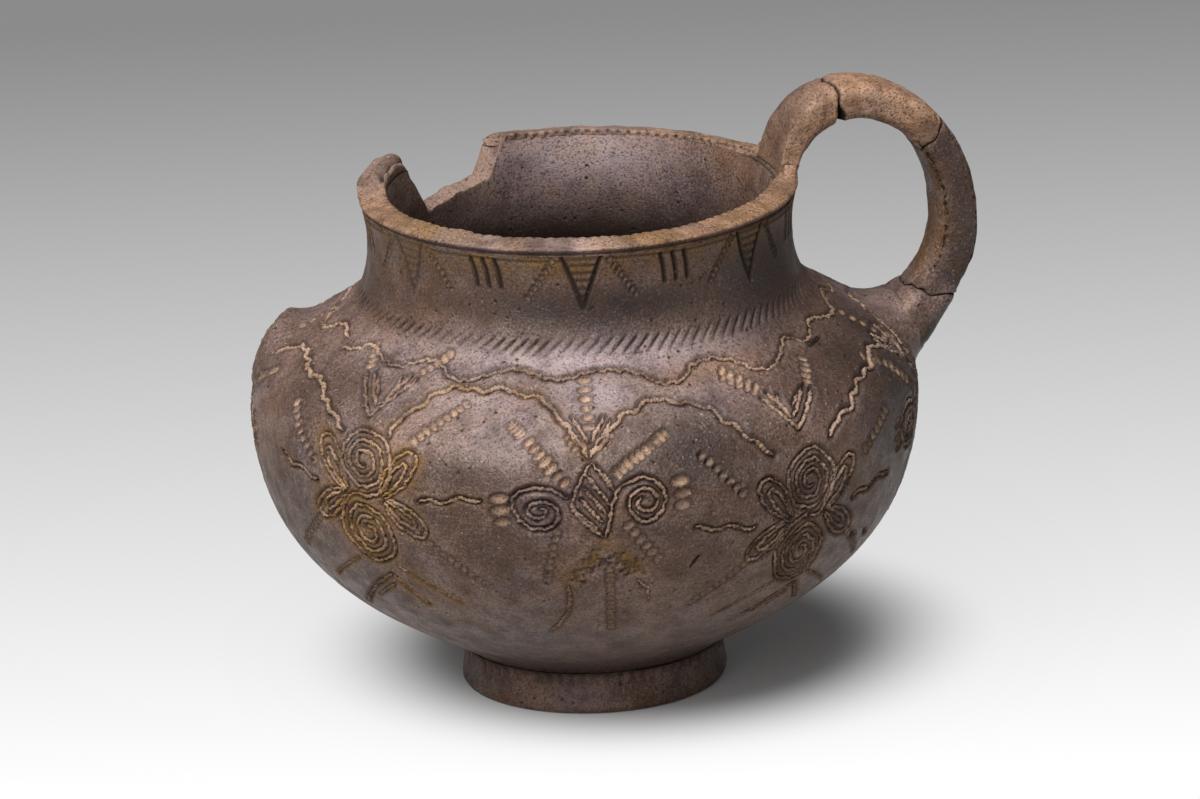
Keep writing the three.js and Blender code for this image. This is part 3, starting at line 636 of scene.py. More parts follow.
def root_swell(angle, arc, at, broken_off):
    """Clay smoothed up against a handle's root: a round fillet, R - sqrt(R^2 - (R - d)^2) high at a
    distance d from the root's rounded-oblong outline, R being 11 mm toward the neck and 6 toward the belly.
    It stays under about 5 mm and dips under the strap, or is cut by a slanting broken face."""
    radius, height = vessel(arc)
    out, side = radius * np.cos(angle - at), radius * np.sin(angle - at)
    up = -(out - root_place[0]) * root_heading[1] + (height - root_place[1]) * root_heading[0]
    toward_belly = up / np.maximum(np.hypot(side, up), 0.1)
    fillet = 8.5 - 2.5 * toward_belly
    half_tall = np.where(up < 0, 5.0 + 2.0 * broken_off, 6.0)
    oblong = (np.abs(side / 9.8) ** 3 + np.abs(up / half_tall) ** 3) ** (1 / 3)
    gap = np.hypot(side, up) * (1 - 1 / np.maximum(oblong, 0.05))
    short = np.clip(fillet - gap, 0, fillet)
    swell = fillet - np.sqrt(fillet ** 2 - short ** 2)
    if broken_off:
        grit = rough(np.stack(np.broadcast_arrays(side, up, 0 * side), -1), 9, 1.1, 61)
        face = np.maximum(1.5 - 0.3 * up + 0.34 * grit, 0)
        soft = 0.05 + 1.2 * np.clip(swell / 2, 0, 1)
        blend = np.clip(0.5 + 0.5 * (face - swell) / soft, 0, 1)
        swell = face + blend * (swell - face) - soft * blend * (1 - blend) * np.clip(swell, 0, 1)
    else:
        swell = np.where(gap < 0, np.maximum(fillet + 1.5 * gap, 0), swell)
        swell = np.minimum(swell, 4.5 - 1.25 * toward_belly)
    return np.where(out > 0, swell, 0)


def both_swells(angle, arc):
    """Clay round the root of the handle, and round the stub of the lost one."""
    return [root_swell(angle, arc, at, lost) for at, lost in zip(handle_angles, (False, True))]


belly_arc = belly_start * np.linspace(1, 0, 97)[:, None] ** 1.3
relief, dirt, paste, ochre = carve(belly_angle, belly_arc)
relief = relief + weathered(belly_angle, belly_arc)
relief = relief + sum(both_swells(belly_angle, belly_arc))
belly_backs = ((0, 2.8), (-23, 2.8), (belly_start, 2.8))
bowl_belly = surface(
    "bowl_belly", closed_band(belly_angle, belly_arc, relief, belly_backs), burnished_brown, ring=True,
    **padded(len(belly_backs), dirt=0.78 * dirt, paste=paste, ochre=ochre, **stains(belly_angle, belly_arc)))
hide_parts("lower_bowl")

# Shoulder: a wide coil of the same clay, drawn in from the belly to the root of the neck.
# It is greyer and glossier from the smoke and the pebble. It carries the upper half of the drawing and
# is thickened with smoothed clay where the two handles were luted on.
burnished_grey = fired_clay(
    "burnished_grey_clay", 0x7C635B, 0x6C544B, 0xA67F60, grit=0.4, gloss=0.3, matt=0.55)

shoulder_arc = np.linspace(0, neck_arc, 89)[:, None]
relief, dirt, paste, ochre = carve(belly_angle, shoulder_arc)
relief = relief + weathered(belly_angle, shoulder_arc)
swell, stub = both_swells(belly_angle, shoulder_arc)
plain = np.clip(1 - (swell + stub) / 0.6, 0, 1)
scar = np.clip((stub - 0.9) / 0.8, 0, 1) * patches(belly_angle, shoulder_arc, (258, 8.5, 10, 8, 1.0))
collar_level = 41.8
collar_nicks = dict(level=collar_level, height=2.1, pitch=3.1, radius=57, lean=-2.0, depth=0.9, sharp=5)
collar = notches(belly_angle, shoulder_arc, **collar_nicks)
# Darker toward both sides of the jar, more on the right.
sides_darkened = patches(belly_angle, shoulder_arc, (75, 22, 18, 16, 0.26), (-76, 20, 18, 16, 0.12))
shoulder_backs = tuple((at, wall) for at in np.linspace(neck_arc, 0, 8))
shoulder_push = swell + stub + plain * relief - collar
shoulder_shares = stains(belly_angle, shoulder_arc)
shoulder_shares["warm"] = shoulder_shares["warm"] * plain
shoulder_shares["dirt"] = 0.78 * plain * dirt + 0.6 * collar + sides_darkened
shoulder_shares["paste"] = plain * paste
shoulder_shares["ochre"] = plain * ochre
shoulder_shares["fresh"] = 0.5 * scar
shoulder = surface(
    "shoulder", closed_band(belly_angle, shoulder_arc, shoulder_push, shoulder_backs),
    burnished_grey, ring=True,
    **padded(len(shoulder_backs), **shoulder_shares))
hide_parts("shoulder")

# Inlaid lines: the ridges left standing in the troughs of the drawing, rubbed with a pale ochre paste.
# Each is a low rounded strip that follows its line, notched like a cord by the point that cut it, worn
# thinner in some places and gone in others. The paste is dry and matt: pale beige, yellow-brown in patches.
ridge_across, ridge_height = np.array(((1, 0.55, -0.55, -1, 0), (0.35, 1, 1, 0.35, 0)))
ridge_points, ridge_warm, ridge_smoke = [], [], []
for number, (path, _, depth, ridge, tint) in enumerate(line for line in cuts if line[3] > 0):
    angle = viewer_side + np.radians(path[:, 0])
    swell = sum(root_swell(angle, path[:, 1], at, False) for at in handle_angles)
    heading = np.gradient(path * (degree, 1), axis=0)
    heading /= np.linalg.norm(heading, axis=1)[:, None]
    middle = np.stack([path[:, 0] * degree, path[:, 1], np.full(len(path), 7.0 * number)], -1)
    wear = rough(middle, 14, 1.5, 11)
    drift = rough(middle, 6, 1.0, 12)
    order = np.arange(len(path))
    taper = np.clip(np.minimum(order, order[::-1]) / 6, 0.15, 1)
    stabs = (0.5 + 0.5 * np.cos(2 * np.pi * path_step * order / 1.3 + 4.5 * drift)) ** 2
    width = ridge * taper * (1 + 0.28 * drift - 0.22 * stabs)
    top = 0.1 - 0.6 * np.clip(wear - 0.2, 0, 1) - 0.1 * drift - 0.45 * ridge * stabs
    top = top - 2 * np.clip(swell, 0, 1)
    low = -depth - 0.25
    across = width[:, None] * ridge_across + 0.2 * rough(middle, 3, 0.9, 13)[:, None]
    lift = low + (top[:, None] - low) * ridge_height
    scale = vessel(path[:, 1])[0][:, None]
    side_angle = angle[:, None] - across * heading[:, 1:] / scale
    ridge_points.append(wall_points(side_angle, path[:, 1:] + across * heading[:, :1], lift))
    ridge_warm.append(np.broadcast_to(np.clip(tint * (0.8 + 0.6 * wear), 0, 1)[:, None], lift.shape))
    ridge_smoke.append(np.broadcast_to(0.3 * patches(angle, path[:, 1], *smoke_clouds)[:, None], lift.shape))

counts = np.array([len(points) for points in ridge_points])
strip_points = np.concatenate(ridge_points)
strip_row = np.arange(len(strip_points))
strip_last = np.cumsum(counts) - 1
strip_first = strip_last - counts + 1
inner_row = np.setdiff1d(strip_row, strip_last)
corner = strip_row[:, None] * ridge_across.size + np.arange(ridge_across.size)
beside = np.roll(corner, -1, axis=1)
strip_sides = [corner[inner_row], beside[inner_row], beside[inner_row + 1], corner[inner_row + 1]]
strip_quads = np.stack(strip_sides, -1).reshape(-1, 4)
strip_ends = np.concatenate([corner[strip_first][:, ::-1], corner[strip_last]])
strip_mesh = bpy.data.meshes.new("inlaid_lines")
strip_mesh.from_pydata(
    (strip_points.reshape(-1, 3) * 0.001).tolist(), [], strip_quads.tolist() + strip_ends.tolist())
strip_mesh.shade_smooth()
for share, values in (("warm", ridge_warm), ("smoke", ridge_smoke)):
    strip_mesh.attributes.new(share, "FLOAT", "POINT").data.foreach_set(
        "value", np.concatenate(values).astype(np.float32).ravel())
line_paste = fired_clay(
    "rubbed_line_paste", 0xBE9E86, 0x947460, 0xB68840, grit=0.2, gloss=0.62, matt=0.85, pores=1.8)
strip_mesh.materials.append(line_paste)
inlaid_lines = bpy.data.objects.new("inlaid_lines", strip_mesh)
bpy.context.scene.collection.objects.link(inlaid_lines)
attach(inlaid_lines, "root")

# Foot ring: a coil pressed on under the bowl, pared flat where it stands, its edges worn.
# Brown clay like the bowl's, wiped round and round, with dirt in the join above it.
foot_angle = np.linspace(0, 2 * np.pi, 480, endpoint=False)[None, :]
foot_outline = np.array([
    (28.2, 0), (29.8, 0), (31.2, 0), (32.4, 0.35), (33.0, 1.2), (33.2, 2.4), (32.9, 5.5), (32.75, 8.2),
    (32.9, 10.0), (33.15, 11.0), (31.5, 10.2), (29.0, 8.4), (26.4, 6.9), (26.2, 4.6), (26.3, 2.2),
    (26.9, 0.6)])
foot_line = through(np.vstack([foot_outline[-1:], foot_outline, foot_outline[:2]]), 5)
foot_out, foot_up = foot_line[:, :1], foot_line[:, 1:]
standing = np.clip((foot_up - 0.4) / 2, 0, 1)
knobs = notches(foot_angle, foot_up, level=9.6, height=1.6, pitch=3.0, radius=33, lean=0.3, depth=0.6)
worn = 0.2 * rough(turned(foot_angle, foot_out, np.maximum(foot_up, 0)), 22, 1.6, 21) - knobs
foot_ring = surface(
    "foot_ring", turned(foot_angle, foot_out + standing * worn, np.maximum(foot_up, 0)),
    burnished_brown, ring=True,
    dirt=np.clip(0.7 * np.exp(-((foot_up - 11.2) / 1.2) ** 2) + 0.7 * knobs, 0, 1),
    warm=0.4 * np.exp(-((foot_up - 2) / 3) ** 2), bloom=patches(foot_angle, foot_up, (-6, 4, 16, 4, 0.5)))
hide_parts("foot_ring")

# Neck: a short cylinder with a drawn-in waist, set on the shoulder, its joint covered by a nicked band.
# Smoked grey-brown clay, tan toward the lip, wiped upright. Hatched triangles, strokes and stamped rows
# hang from the lip. A piece of neck and rim broke away at the back left and left a rough pale edge.
neck_top = 125.4
break_middle = np.radians(119.25)
break_across = np.array((-30, -17.23, -8.64, 12.55, 17.23, 17.3))
break_level = np.array((150, 128.8, 114.6, 118.3, 126.7, 160))
cuts, stamps = [], []
triangle_gap = 360 / 7
for k in range(7):
    x = 0.3 + triangle_gap * k
    for lean in (-1, 1):
        cut(bent((x + 0.3, 51.3), (x + 5.4 * lean, 65.2)), 0.7, 0.7, 0)
        stamped((x + 7.6 * lean, 63.6), (x + 14.5 * lean, 54), 8, 0.9, 0.55, 0.5)
    for rung in np.linspace(0.2, 0.92, 6):
        cut(bent((x + 0.3 - 5 * rung, 51.3 + 13.9 * rung), (x + 5 * rung, 51.3 + 13.9 * rung)), 0.55, 0.3, 0)
    for stroke in (-3.4, 0, 3.4):
        middle = x + triangle_gap / 2 + stroke
        cut(bent((middle - 0.9, 63.4), (middle, 60), (middle + 0.5, 56.2)), 0.7, 0.7, 0)
scored = ((0, 0), (13, 0.15), (27, -0.15), (40, 0))
for level in (64.9, 63.6):
    for start in np.arange(0, 360, 40):
        cut(bent(*((start + x, level + y) for x, y in scored)), 0.45, 0.3, 0)


def break_height(angle, radius):
    """Height of the broken edge at a place of the wall: straight runs between the break's corners,
    taken straight across the wall, and far above the lip away from the break."""
    across = -radius * np.sin(angle - break_middle)
    return np.where(np.cos(angle - break_middle) > 0, np.interp(across, break_across, break_level), 160)


neck_clay = fired_clay(
    "smoked_neck_clay", 0x7A6158, 0x6A5249, 0x9A6C38, grit=0.2, gloss=0.34, matt=0.58, wipe=(1, 1, 0.12))
neck_rows = np.linspace(0, 1, 62)[:, None]
neck_end = np.interp(neck_top, outside[:, 1], outside_arc)
outer_top, inner_top = (
    np.minimum(neck_top, break_height(belly_angle, radius)) for radius in (53.5, 47.5))
ragged = 0.3 * rough(turned(belly_angle, 51.0, neck_top), 10, 1.6, 31)
broken = np.clip((neck_top - outer_top) / 0.6, 0, 1)
neck_reach = np.interp(outer_top + broken * ragged, outside[:, 1], outside_arc)
neck_arc_grid = neck_arc + neck_rows * (neck_reach - neck_arc)
relief, dirt, paste, ochre = carve(belly_angle, neck_arc_grid)
whole = np.clip((neck_reach - neck_arc_grid) / 2.5, 0, 1) * broken + (1 - broken)
whole = whole * (1 - patches(belly_angle, neck_arc_grid, (-50, 58, 13, 20, 0.55), (200, 58, 40, 20, 0.4)))
worn_round = 0.5 * broken * np.clip(1 - (neck_reach - neck_arc_grid) / 1.2, 0, 1) ** 2
collar = notches(belly_angle, neck_arc_grid, **collar_nicks)
neck_outer = wall_points(belly_angle, neck_arc_grid, whole * relief - collar - worn_round)
inner_broken = np.clip((neck_top - inner_top) / 0.6, 0, 1)
inner_reach = np.interp(inner_top, outside[:, 1], outside_arc)
inner_rows = np.linspace(1, 0, 34)[:, None]
inner_arc = neck_arc + inner_rows * (inner_reach - neck_arc)
inner_radius, inner_height = vessel(inner_arc, wall)
inner_drop = inner_broken * (vessel(inner_reach, wall)[1] - inner_top - ragged)
inner_radius = inner_radius + hand_wobble(belly_angle, inner_height)
inner_push = 0.1 * rough(turned(belly_angle, inner_radius, inner_height), 30, 5, 33)
neck_inner = turned(belly_angle, inner_radius + inner_push, inner_height - inner_drop * inner_rows)
cross = np.linspace(0, 1, 10)[1:-1, None, None]
neck_rim = neck_outer[-1:] * (1 - cross) + neck_inner[:1] * cross
neck_rim[..., 2] += broken * (0.25 * rough(neck_rim, 6, 0.9, 32) + 0.5 * np.sin(np.pi * cross[..., 0]))
neck_points = np.concatenate([neck_outer, neck_rim, neck_inner])
inner_count = len(neck_rim) + len(neck_inner)
edge = np.clip(1 - (neck_reach - neck_arc_grid) / 0.9, 0, 1) * broken
inner_edge = np.clip(1 - (inner_reach - inner_arc) / 0.7, 0, 1) * inner_broken
fresh = np.concatenate([edge, np.broadcast_to(broken, neck_rim.shape[:2]), inner_edge])
streaks = 0.8 + 0.2 * np.sin(5 * belly_angle)
below_lip = neck_arc_grid - 64.5
neck_warm = np.maximum(
    1.1 * np.exp(-(below_lip / 6) ** 2) * streaks,
    patches(belly_angle, neck_arc_grid, (-62, 55, 24, 14, 0.9), (14, 60, 30, 5, 0.5), (180, 58, 50, 8, 0.6)))
# Painted highlight: the inner back wall is brightened where the light falls into the mouth.
inner_bloom = patches(belly_angle, inner_arc, (178, 61, 34, 9, 0.9), (200, 50, 30, 8, 0.5))
# The neck is darker toward both sides too, more on the right.
neck_sides_darkened = patches(belly_angle, neck_arc_grid, (62, 52, 32, 16, 0.17), (-62, 50, 24, 16, 0.1))
collar_dirt = 1.3 * collar * np.clip(0.55 + (neck_arc_grid - collar_level) / 3, 0.2, 1)
neck_dirt = neck_sides_darkened + np.maximum(1.1 * whole * dirt, collar_dirt)
# Painted shade: the inner wall of the mouth is darkened downward, into the depth of the jar.
inner_dirt = patches(belly_angle, inner_arc, (180, 36, 150, 15, 0.8), (245, 46, 40, 18, 0.2))
neck_fired = stains(belly_angle, neck_arc_grid)
neck_smoke = np.maximum(neck_fired["smoke"], 0.48 * np.clip((neck_arc_grid - 44) / 7, 0, 1))
# Smoke on the inner wall, and painted shade: darkest deep down and on the left inner wall, where no light
# falls.
inner_smoke = patches(
    belly_angle, inner_arc, (245, 50, 40, 30, 0.45), (180, 36, 120, 12, 1.0), (130, 50, 25, 18, 0.35))
inner_warm = patches(belly_angle, inner_arc, (130, 62, 20, 5, 0.7), (165, 65, 60, 3, 0.6))
bare_edge = np.zeros(neck_rim.shape[:2])
neck = surface(
    "neck", neck_points, neck_clay, ring=True, fresh=fresh,
    dirt=np.concatenate([neck_dirt, bare_edge, inner_dirt]),
    smoke=np.concatenate([neck_smoke, bare_edge, inner_smoke]),
    bloom=np.concatenate([neck_fired["bloom"], bare_edge, inner_bloom]),
    warm=np.concatenate([neck_warm, bare_edge, inner_warm]),
    **padded(inner_count, paste=whole * paste * 0.5, ochre=0.5 * np.exp(-(below_lip / 4.5) ** 2) * streaks))
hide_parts("neck")

# Rim: a bevelled lip on its own coil, with a groove under the outer edge and a row of small nicks along
# the inner edge. Tan and pink clay where the smoke did not reach, rubbed bare and stained in patches.
# It sweeps up into the handle's root, and ends on both sides of the break in rough, paler faces.
rim_columns, cap_rings = 900, 8
lip_outline = np.array([
    (53.8, 125.4), (53.55, 125.85), (53.9, 126.3), (54.4, 126.75), (54.5, 127.2), (54.1, 127.6),
    (52.8, 127.95), (51.0, 128.25), (49.4, 128.55), (48.4, 128.7), (47.85, 128.5), (47.6, 128.0),
    vessel(neck_end, wall)])
lip_line = np.vstack([through(lengthened(lip_outline), 4), lip_outline[-1:], (49.0, 125.9), (51.2, 125.5)])
lip_radius, lip_height = lip_line.T[:, None, :]
right_across = np.interp(lip_height, break_level[3:], break_across[3:])
left_across = np.interp(-lip_height, -break_level[:3], break_across[:3])
rim_left = break_middle + np.arcsin(-(left_across + 0.9) / lip_radius)
rim_right = break_middle - np.arcsin(right_across / lip_radius) + 2 * np.pi
rim_share = np.linspace(0, 1, rim_columns)[:, None]
rim_angle = rim_left + rim_share * (rim_right - rim_left)
lip_top = np.clip((lip_height - 126.6) / 1.2, 0, 1)


def root_fillet(at, front, back, outline):
    """Rise of the lip beside a handle's root: R - sqrt(R^2 - (R - d)^2), d from the root's outline."""
    side = lip_radius * np.sin(rim_angle - at)
    bend = np.where(side < 0, front, back)
    short = np.clip(bend - np.maximum(np.abs(side) - outline, 0), 0, bend)
    return np.where(np.cos(rim_angle - at) > 0, bend - np.sqrt(bend ** 2 - short ** 2), 0)


root_outline = np.where(np.sin(rim_angle) < 0, 9.2, 10.6)
sweep = np.minimum(root_fillet(handle_angles[0], 10.0, 5.0, root_outline), 2.5)
lost_sweep = np.clip(root_fillet(handle_angles[1], 8.0, 12.0, 8.0) / 1.2, 0, 1)
from_root = np.abs(lip_radius * np.sin(rim_angle))
near_root = np.clip((np.cos(rim_angle) > 0) * (1.6 - from_root / 16), 0, 1)
end_gap = lip_radius * np.minimum(rim_angle - rim_left, rim_right - rim_angle)
rounded_end = 1.6 * np.clip(1 - end_gap / 3, 0, 1) ** 2
rim_places = turned(rim_angle, lip_radius, lip_height)
rim_rough = 0.16 * rough(rim_places, 16, 1.2, 41) + 0.12 * rough(rim_places, 60, 20, 42)
lost_rough = 0.28 * rough(rim_places, 9, 1.4, 44)
plain_wall = np.interp(lip_height, (125.4, 127.2, 128.3), (53.8, 54.5, 54.8))
filled = np.clip(np.maximum(near_root, 2 * lost_sweep), 0, 1) * (lip_radius > 51.5)
rim_out = lip_radius + filled * (plain_wall - lip_radius)
pit_comb = (0.5 + 0.5 * np.cos(np.round(2 * np.pi * 48 / 2.6) * rim_angle)) ** 2
pit_row = pit_comb * np.exp(-((lip_height - 128.0) / 0.7) ** 2) * (lip_radius < 49.2)
pit_row = pit_row * (1 - near_root) * (1 - lost_sweep)
drawn = near_root ** 2 * (3 - 2 * near_root) * np.clip((51.5 - lip_radius) / 2.5, 0, 1)
rim_lift = rim_rough + sweep * (1 - drawn) + lost_sweep * (1.2 + lost_rough) - rounded_end
rim_height = lip_height + lip_top * rim_lift - 0.25 * pit_row
rim_out = rim_out + 0.6 * pit_row + (1 - lip_top) * 0.3 * rim_rough + hand_wobble(rim_angle, lip_height)
rim_points = turned(rim_angle, rim_out + 2.2 * drawn * lip_top, rim_height)
caps = []
face_side = np.array((-np.sin(break_middle), np.cos(break_middle), 0))
for end in (rim_points[0], rim_points[-1]):
    centre = end.mean(0)
    cap = centre + np.linspace(1, 0, cap_rings + 1)[1:, None, None] * (end - centre)
    face_rough = 0.25 * rough(cap, 6, 1, 43) * np.linspace(1, 0.6, cap_rings + 1)[1:, None]
    cap = cap + face_rough[..., None] * face_side
    cap[-1] = cap[-1].mean(0)
    caps.append(cap)
rim_grid = np.concatenate([caps[0][::-1], rim_points, caps[1]])


def capped(values, end):
    """Shares along the rim, with one value on both broken ends."""
    cap = np.full((cap_rings, len(lip_line)), float(end))
    return np.concatenate([cap, np.broadcast_to(values, rim_angle.shape), cap])


rim_order = np.arange(rim_columns)
end_fresh = np.clip(1 - np.minimum(rim_order, rim_order[::-1]) / 2.5, 0, 1)[:, None]
groove_dirt = 0.75 * np.exp(-((lip_height - 125.85) / 0.45) ** 2) * (lip_radius > 52) * (1 - filled)
crack_dirt = 0.9 * np.exp(-((lip_height - 127.2) / 0.4) ** 2) * (lip_radius < 48.6) * (near_root > 0.9)
rim_dirt = groove_dirt + 0.75 * pit_row + crack_dirt
rim_ochre = patches(rim_angle, 0, (-42, 0, 16, 1, 1), (18, 0, 14, 1, 1), (60, 0, 20, 1, 0.6))
rim_smoke = patches(
    rim_angle, 0, (-12, 0, 5, 1, 1), (-4, 0, 3, 1, 1), (14, 0, 2, 1, 0.9), (24, 0, 3, 1, 0.7),
    (200, 0, 20, 1, 0.5))
rim_bloom = patches(rim_angle, 0, (-3, 0, 10, 1, 1), (-28, 0, 6, 1, 0.8), (180, 0, 30, 1, 0.5))
smoothed_tan = fired_clay(
    "smoothed_tan_clay", 0x9A7459, 0x84664F, 0xB08C72, grit=0.35, gloss=0.42, matt=0.66, pores=2.0)
rim = surface(
    "rim", rim_grid, smoothed_tan, poles=(True, True),
    fresh=capped(np.maximum(end_fresh, 0.6 * lost_sweep * lip_top), 1),
    dirt=capped(np.clip(rim_dirt, 0, 1), 0),
    ochre=capped(0.45 * lip_top * rim_ochre, 0),
    smoke=capped(0.6 * rim_smoke, 0), bloom=capped(0.7 * rim_bloom, 0))
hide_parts("rim_coil")

# Strap handle: one flattened roll of clay bent from the lip, over a high crown, to the shoulder, and
# since broken. Its four sherds are rejoined along rough faces; the cracks show as dark uneven lines.
# The crown is worn pinkish tan with dark pores, the arm is browner with a row of punctures along each edge.
strap_width, rim_root_width, lip_width = 16.5, 22.4, 6.8
root_spread, root_depth = 22.0, 4.0
break_relief, break_wave, joint_gap = 0.7, 15.0, 0.3
crown_place, reach_place = np.array((70.0, 143.8)), np.array((97.7, 111.0))
rim_start = np.array((51.0, 124.8))
root_run = np.linalg.norm(root_place - reach_place)
root_end = root_place + root_depth * root_heading
lower_pull = 0.42 * root_run
strap_line = np.vstack([
    bezier(rim_start, rim_start + (0.76, 11.78), crown_place - (10.07, 0), crown_place, 500),
    bezier(crown_place, crown_place + (15.29, 0), reach_place + (0, 18.1), reach_place, 500)[1:],
    bezier(reach_place, reach_place - (0, lower_pull), root_end - lower_pull * root_heading, root_end,
           500)[1:]])
strap_run = np.concatenate([[0], np.cumsum(np.hypot(*np.diff(strap_line, axis=0).T))])
strap_slope = np.gradient(strap_line, strap_run, axis=0)
strap_length = strap_run[-1]


def eased(value, low, high):
    """Smooth step from 0 to 1 between two values: 3t^2 - 2t^3."""
    t = np.clip((value - low) / (high - low), 0, 1)
    return t * t * (3 - 2 * t)


def broken_face(distance, side, up):
    """Waviness of a broken face: three sines over its width and thickness."""
    turn = 2 * np.pi / break_wave
    across = np.sin(turn * (side + 2.15 * distance))
    inward = np.cos(turn * (1.9 * up - 0.74 * side + 2.4 * distance))
    return 0.55 * (across + inward) + 0.3 * np.sin(turn * (2.6 * side - 2.15 * up + 0.7 * distance))


def strap(along, around, size, shift, inset, at):
    """Points of the strap: at a distance along the middle line, a squarish oval of its width and
    thickness there, scaled by size, drawn in by inset, and moved along the line by shift."""
    middle, line = (
        np.stack([np.interp(along, strap_run, table[:, k]) for k in (0, 1)], -1)
        for table in (strap_line, strap_slope)
    )
    to_rim = (1 - eased(along, root_depth, root_depth + root_spread)) ** 2
    to_root = eased(along, strap_length - root_depth - root_spread, strap_length - root_depth) ** 2
    half_width, half_thick = (
        (size_here + to_rim * (at_rim - size_here) + to_root * (at_root - size_here)) / 2
        for size_here, at_rim, at_root in (
            (strap_width, rim_root_width, root_width), (strap_thickness, lip_width, root_thickness))
    )
    lift = np.clip(10 - (along - 3.8), 0, 7.5)
    swept = 9.2 + 10 - np.sqrt(100 - lift ** 2)
    flare = np.where(np.cos(around) < 0, np.maximum(swept - half_width, 0) * (along < 14), 0)
    half_width = half_width + flare - np.where(np.cos(around) > 0, 2.6 * to_rim * (at == 0), 0)
    squarer = 0.14 * eased(along, 0.36 * strap_length, 0.5 * strap_length)
    corner = 0.62 - squarer - 0.36 * to_rim + 0.4 * to_root * (at != 0)
    squarish = [np.sign(v) * np.abs(v) ** corner for v in (np.cos(around), np.sin(around))]
    side = size * (half_width - inset) * squarish[0]
    spread = np.where(np.sin(around) > 0, 1.7 * to_root - 1.6 * to_rim * (at == 0), 0)
    up = size * (half_thick + spread - inset) * squarish[1] - 0.5 * (1 - to_rim) * (1 - to_root)
    move = shift(side, up)
    wrap = (to_rim + to_root) * side ** 2 / (2 * middle[..., 0])
    out = middle[..., 0] - up * line[..., 1] + move * line[..., 0] - wrap
    height = middle[..., 1] + up * line[..., 0] + move * line[..., 1]
    x = jar_axis + out * np.cos(at) - side * np.sin(at)
    y = out * np.sin(at) + side * np.cos(at)
    return np.stack([x, y, height], -1)


def strap_sherd(name, first, last, breaks, material, at=0.0, worn_in=0.0, round_off=0.0):
    """One sherd between two distances. A broken end follows the broken face with rounded, chipped edges,
    and closes in rings that shrink to its middle; an end inside the wall is plain."""
    around = np.linspace(0, 2 * np.pi, 144, endpoint=False)[None, :]
    rows = max(4, int((last - first) / 0.32))
    cap = np.linspace(0, 1, cap_rings + 1)[:-1]
    length = np.linspace(first, last, rows)
    along = np.concatenate([np.full(cap_rings, first), length, np.full(cap_rings, last)])[:, None]
    size = np.concatenate([cap, np.ones(rows), cap[::-1]])[:, None]
    ends = tuple(zip((first, last), breaks))
    near_first, near_last = (np.clip(1 - np.abs(along - end) / 4.0, 0, 1) * bool(face) for end, face in ends)
    body = np.concatenate([0 * cap, np.ones(rows), 0 * cap])[:, None]
    chips = 0.28 + 0.22 * rough(strap(along, around, size, lambda side, up: 0 * side, 0, 0.0), 4, 0.9, 51)
    edge = sum(np.clip(1 - np.abs(along - end), 0, 1) ** 2 * bool(face) for end, face in ends)
    lip_crack = 6.4 - 3.7 * np.clip(2 * np.sin(around), 0, 1)
    rounding = round_off * np.clip(1 - np.abs(along - last) / 2.6, 0, 1) ** 2
    inset = np.clip(chips, 0.08, 1) * edge + worn_in + rounding

    def shift(side, up):
        """Broken faces at both ends, fading into the sherd, with half a joint's gap between two sherds."""
        start = breaks[0](side, up) + joint_gap / 2 if breaks[0] else 0
        stop = breaks[1](side, up) - joint_gap / 2 if breaks[1] else 0
        return near_first * start + near_last * stop

    def stretch(low, high):
        """Smooth step between two shares of the strap's length."""
        return eased(along, low * strap_length, high * strap_length)

    points = strap(along, around, size, shift, inset, at)
    under = strap(along, around, size, shift, inset + 1.0, at)
    grain = 0.1 * rough(points, 10, 1.6, 52) + 0.12 * rough(points, 40, 14, 53)
    arm = stretch(0.4, 0.5) * (1 - stretch(0.8, 0.86))
    turns = np.degrees(around)
    corner = np.minimum.reduce([np.abs(spread_apart(turns, middle)) for middle in (42, 138, 222, 318)])
    prick = arm * np.exp(-(corner / 8.0) ** 2) * np.clip(0.25 + 1.2 * rough(points, 2.6, 0.8, 54), 0, 1)
    points = points + ((grain * (1 - edge) - 0.4 * prick) * body)[..., None] * (points - under)
    fresh = np.maximum(1 - body, 0.5 * edge)
    seat_dirt = np.exp(-((along - lip_crack) / 0.32) ** 2) * (at == 0)
    stain = arm * np.exp(-(spread_apart(turns, 215) / 16) ** 2)
    join_dirt = 0.9 * edge ** 2 * np.where(at == 0, 1, 0.35 * body)
    dirt = np.clip(join_dirt + 0.9 * prick + 0.9 * seat_dirt + 0.4 * stain, 0, 1)
    # Painted shade through the smoke share: the arm's front face, toward the viewer, and the face of the rim
    # root that turns to the jar's inside are darkened for the shade they stand in; the strap is darkened too
    # where it lands on the shoulder.
    springing = 1 - stretch(0.1, 0.23)
    landing = stretch(0.86, 0.92)
    front = np.exp(-(spread_apart(turns, 175) / 34) ** 2)
    outward = np.clip(1.2 * np.sin(around) + 0.6, 0, 1)
    smoke = 0.75 * arm * front + (0.5 * springing + 0.95 * landing) * outward * (at == 0)
    # The arm's inner face takes a dark ochre tint, darker than its clay: painted shade on the face the light
    # does not reach.
    warm = 0.9 * arm * np.clip(-1.4 * np.sin(around), 0, 1)
    return surface(
        name, points, material, poles=(True, True),
        fresh=fresh, dirt=dirt, warm=warm, ochre=0.2 * warm, smoke=smoke)


crown_break, arm_break, lower_break = 0.224 * strap_length, 0.466 * strap_length, 0.855 * strap_length


def crown_face(side, up):
    """Broken face near the crown."""
    return break_relief * broken_face(crown_break, side, up)


def chipped_crown_face(side, up):
    """The same face with a chip out of its inner front corner."""
    return crown_face(side, up) - 2.2 * eased(-up - 0.25 * side, 1.0, 4.3 + 0.25 * 8.25)


def arm_face(side, up):
    """Broken face on the outer arm."""
    return break_relief * broken_face(arm_break, side, up) - 0.22 * up


def lower_face(side, up):
    """Sloping broken face above the shoulder."""
    return break_relief * broken_face(lower_break, side, up) - 0.5 * up


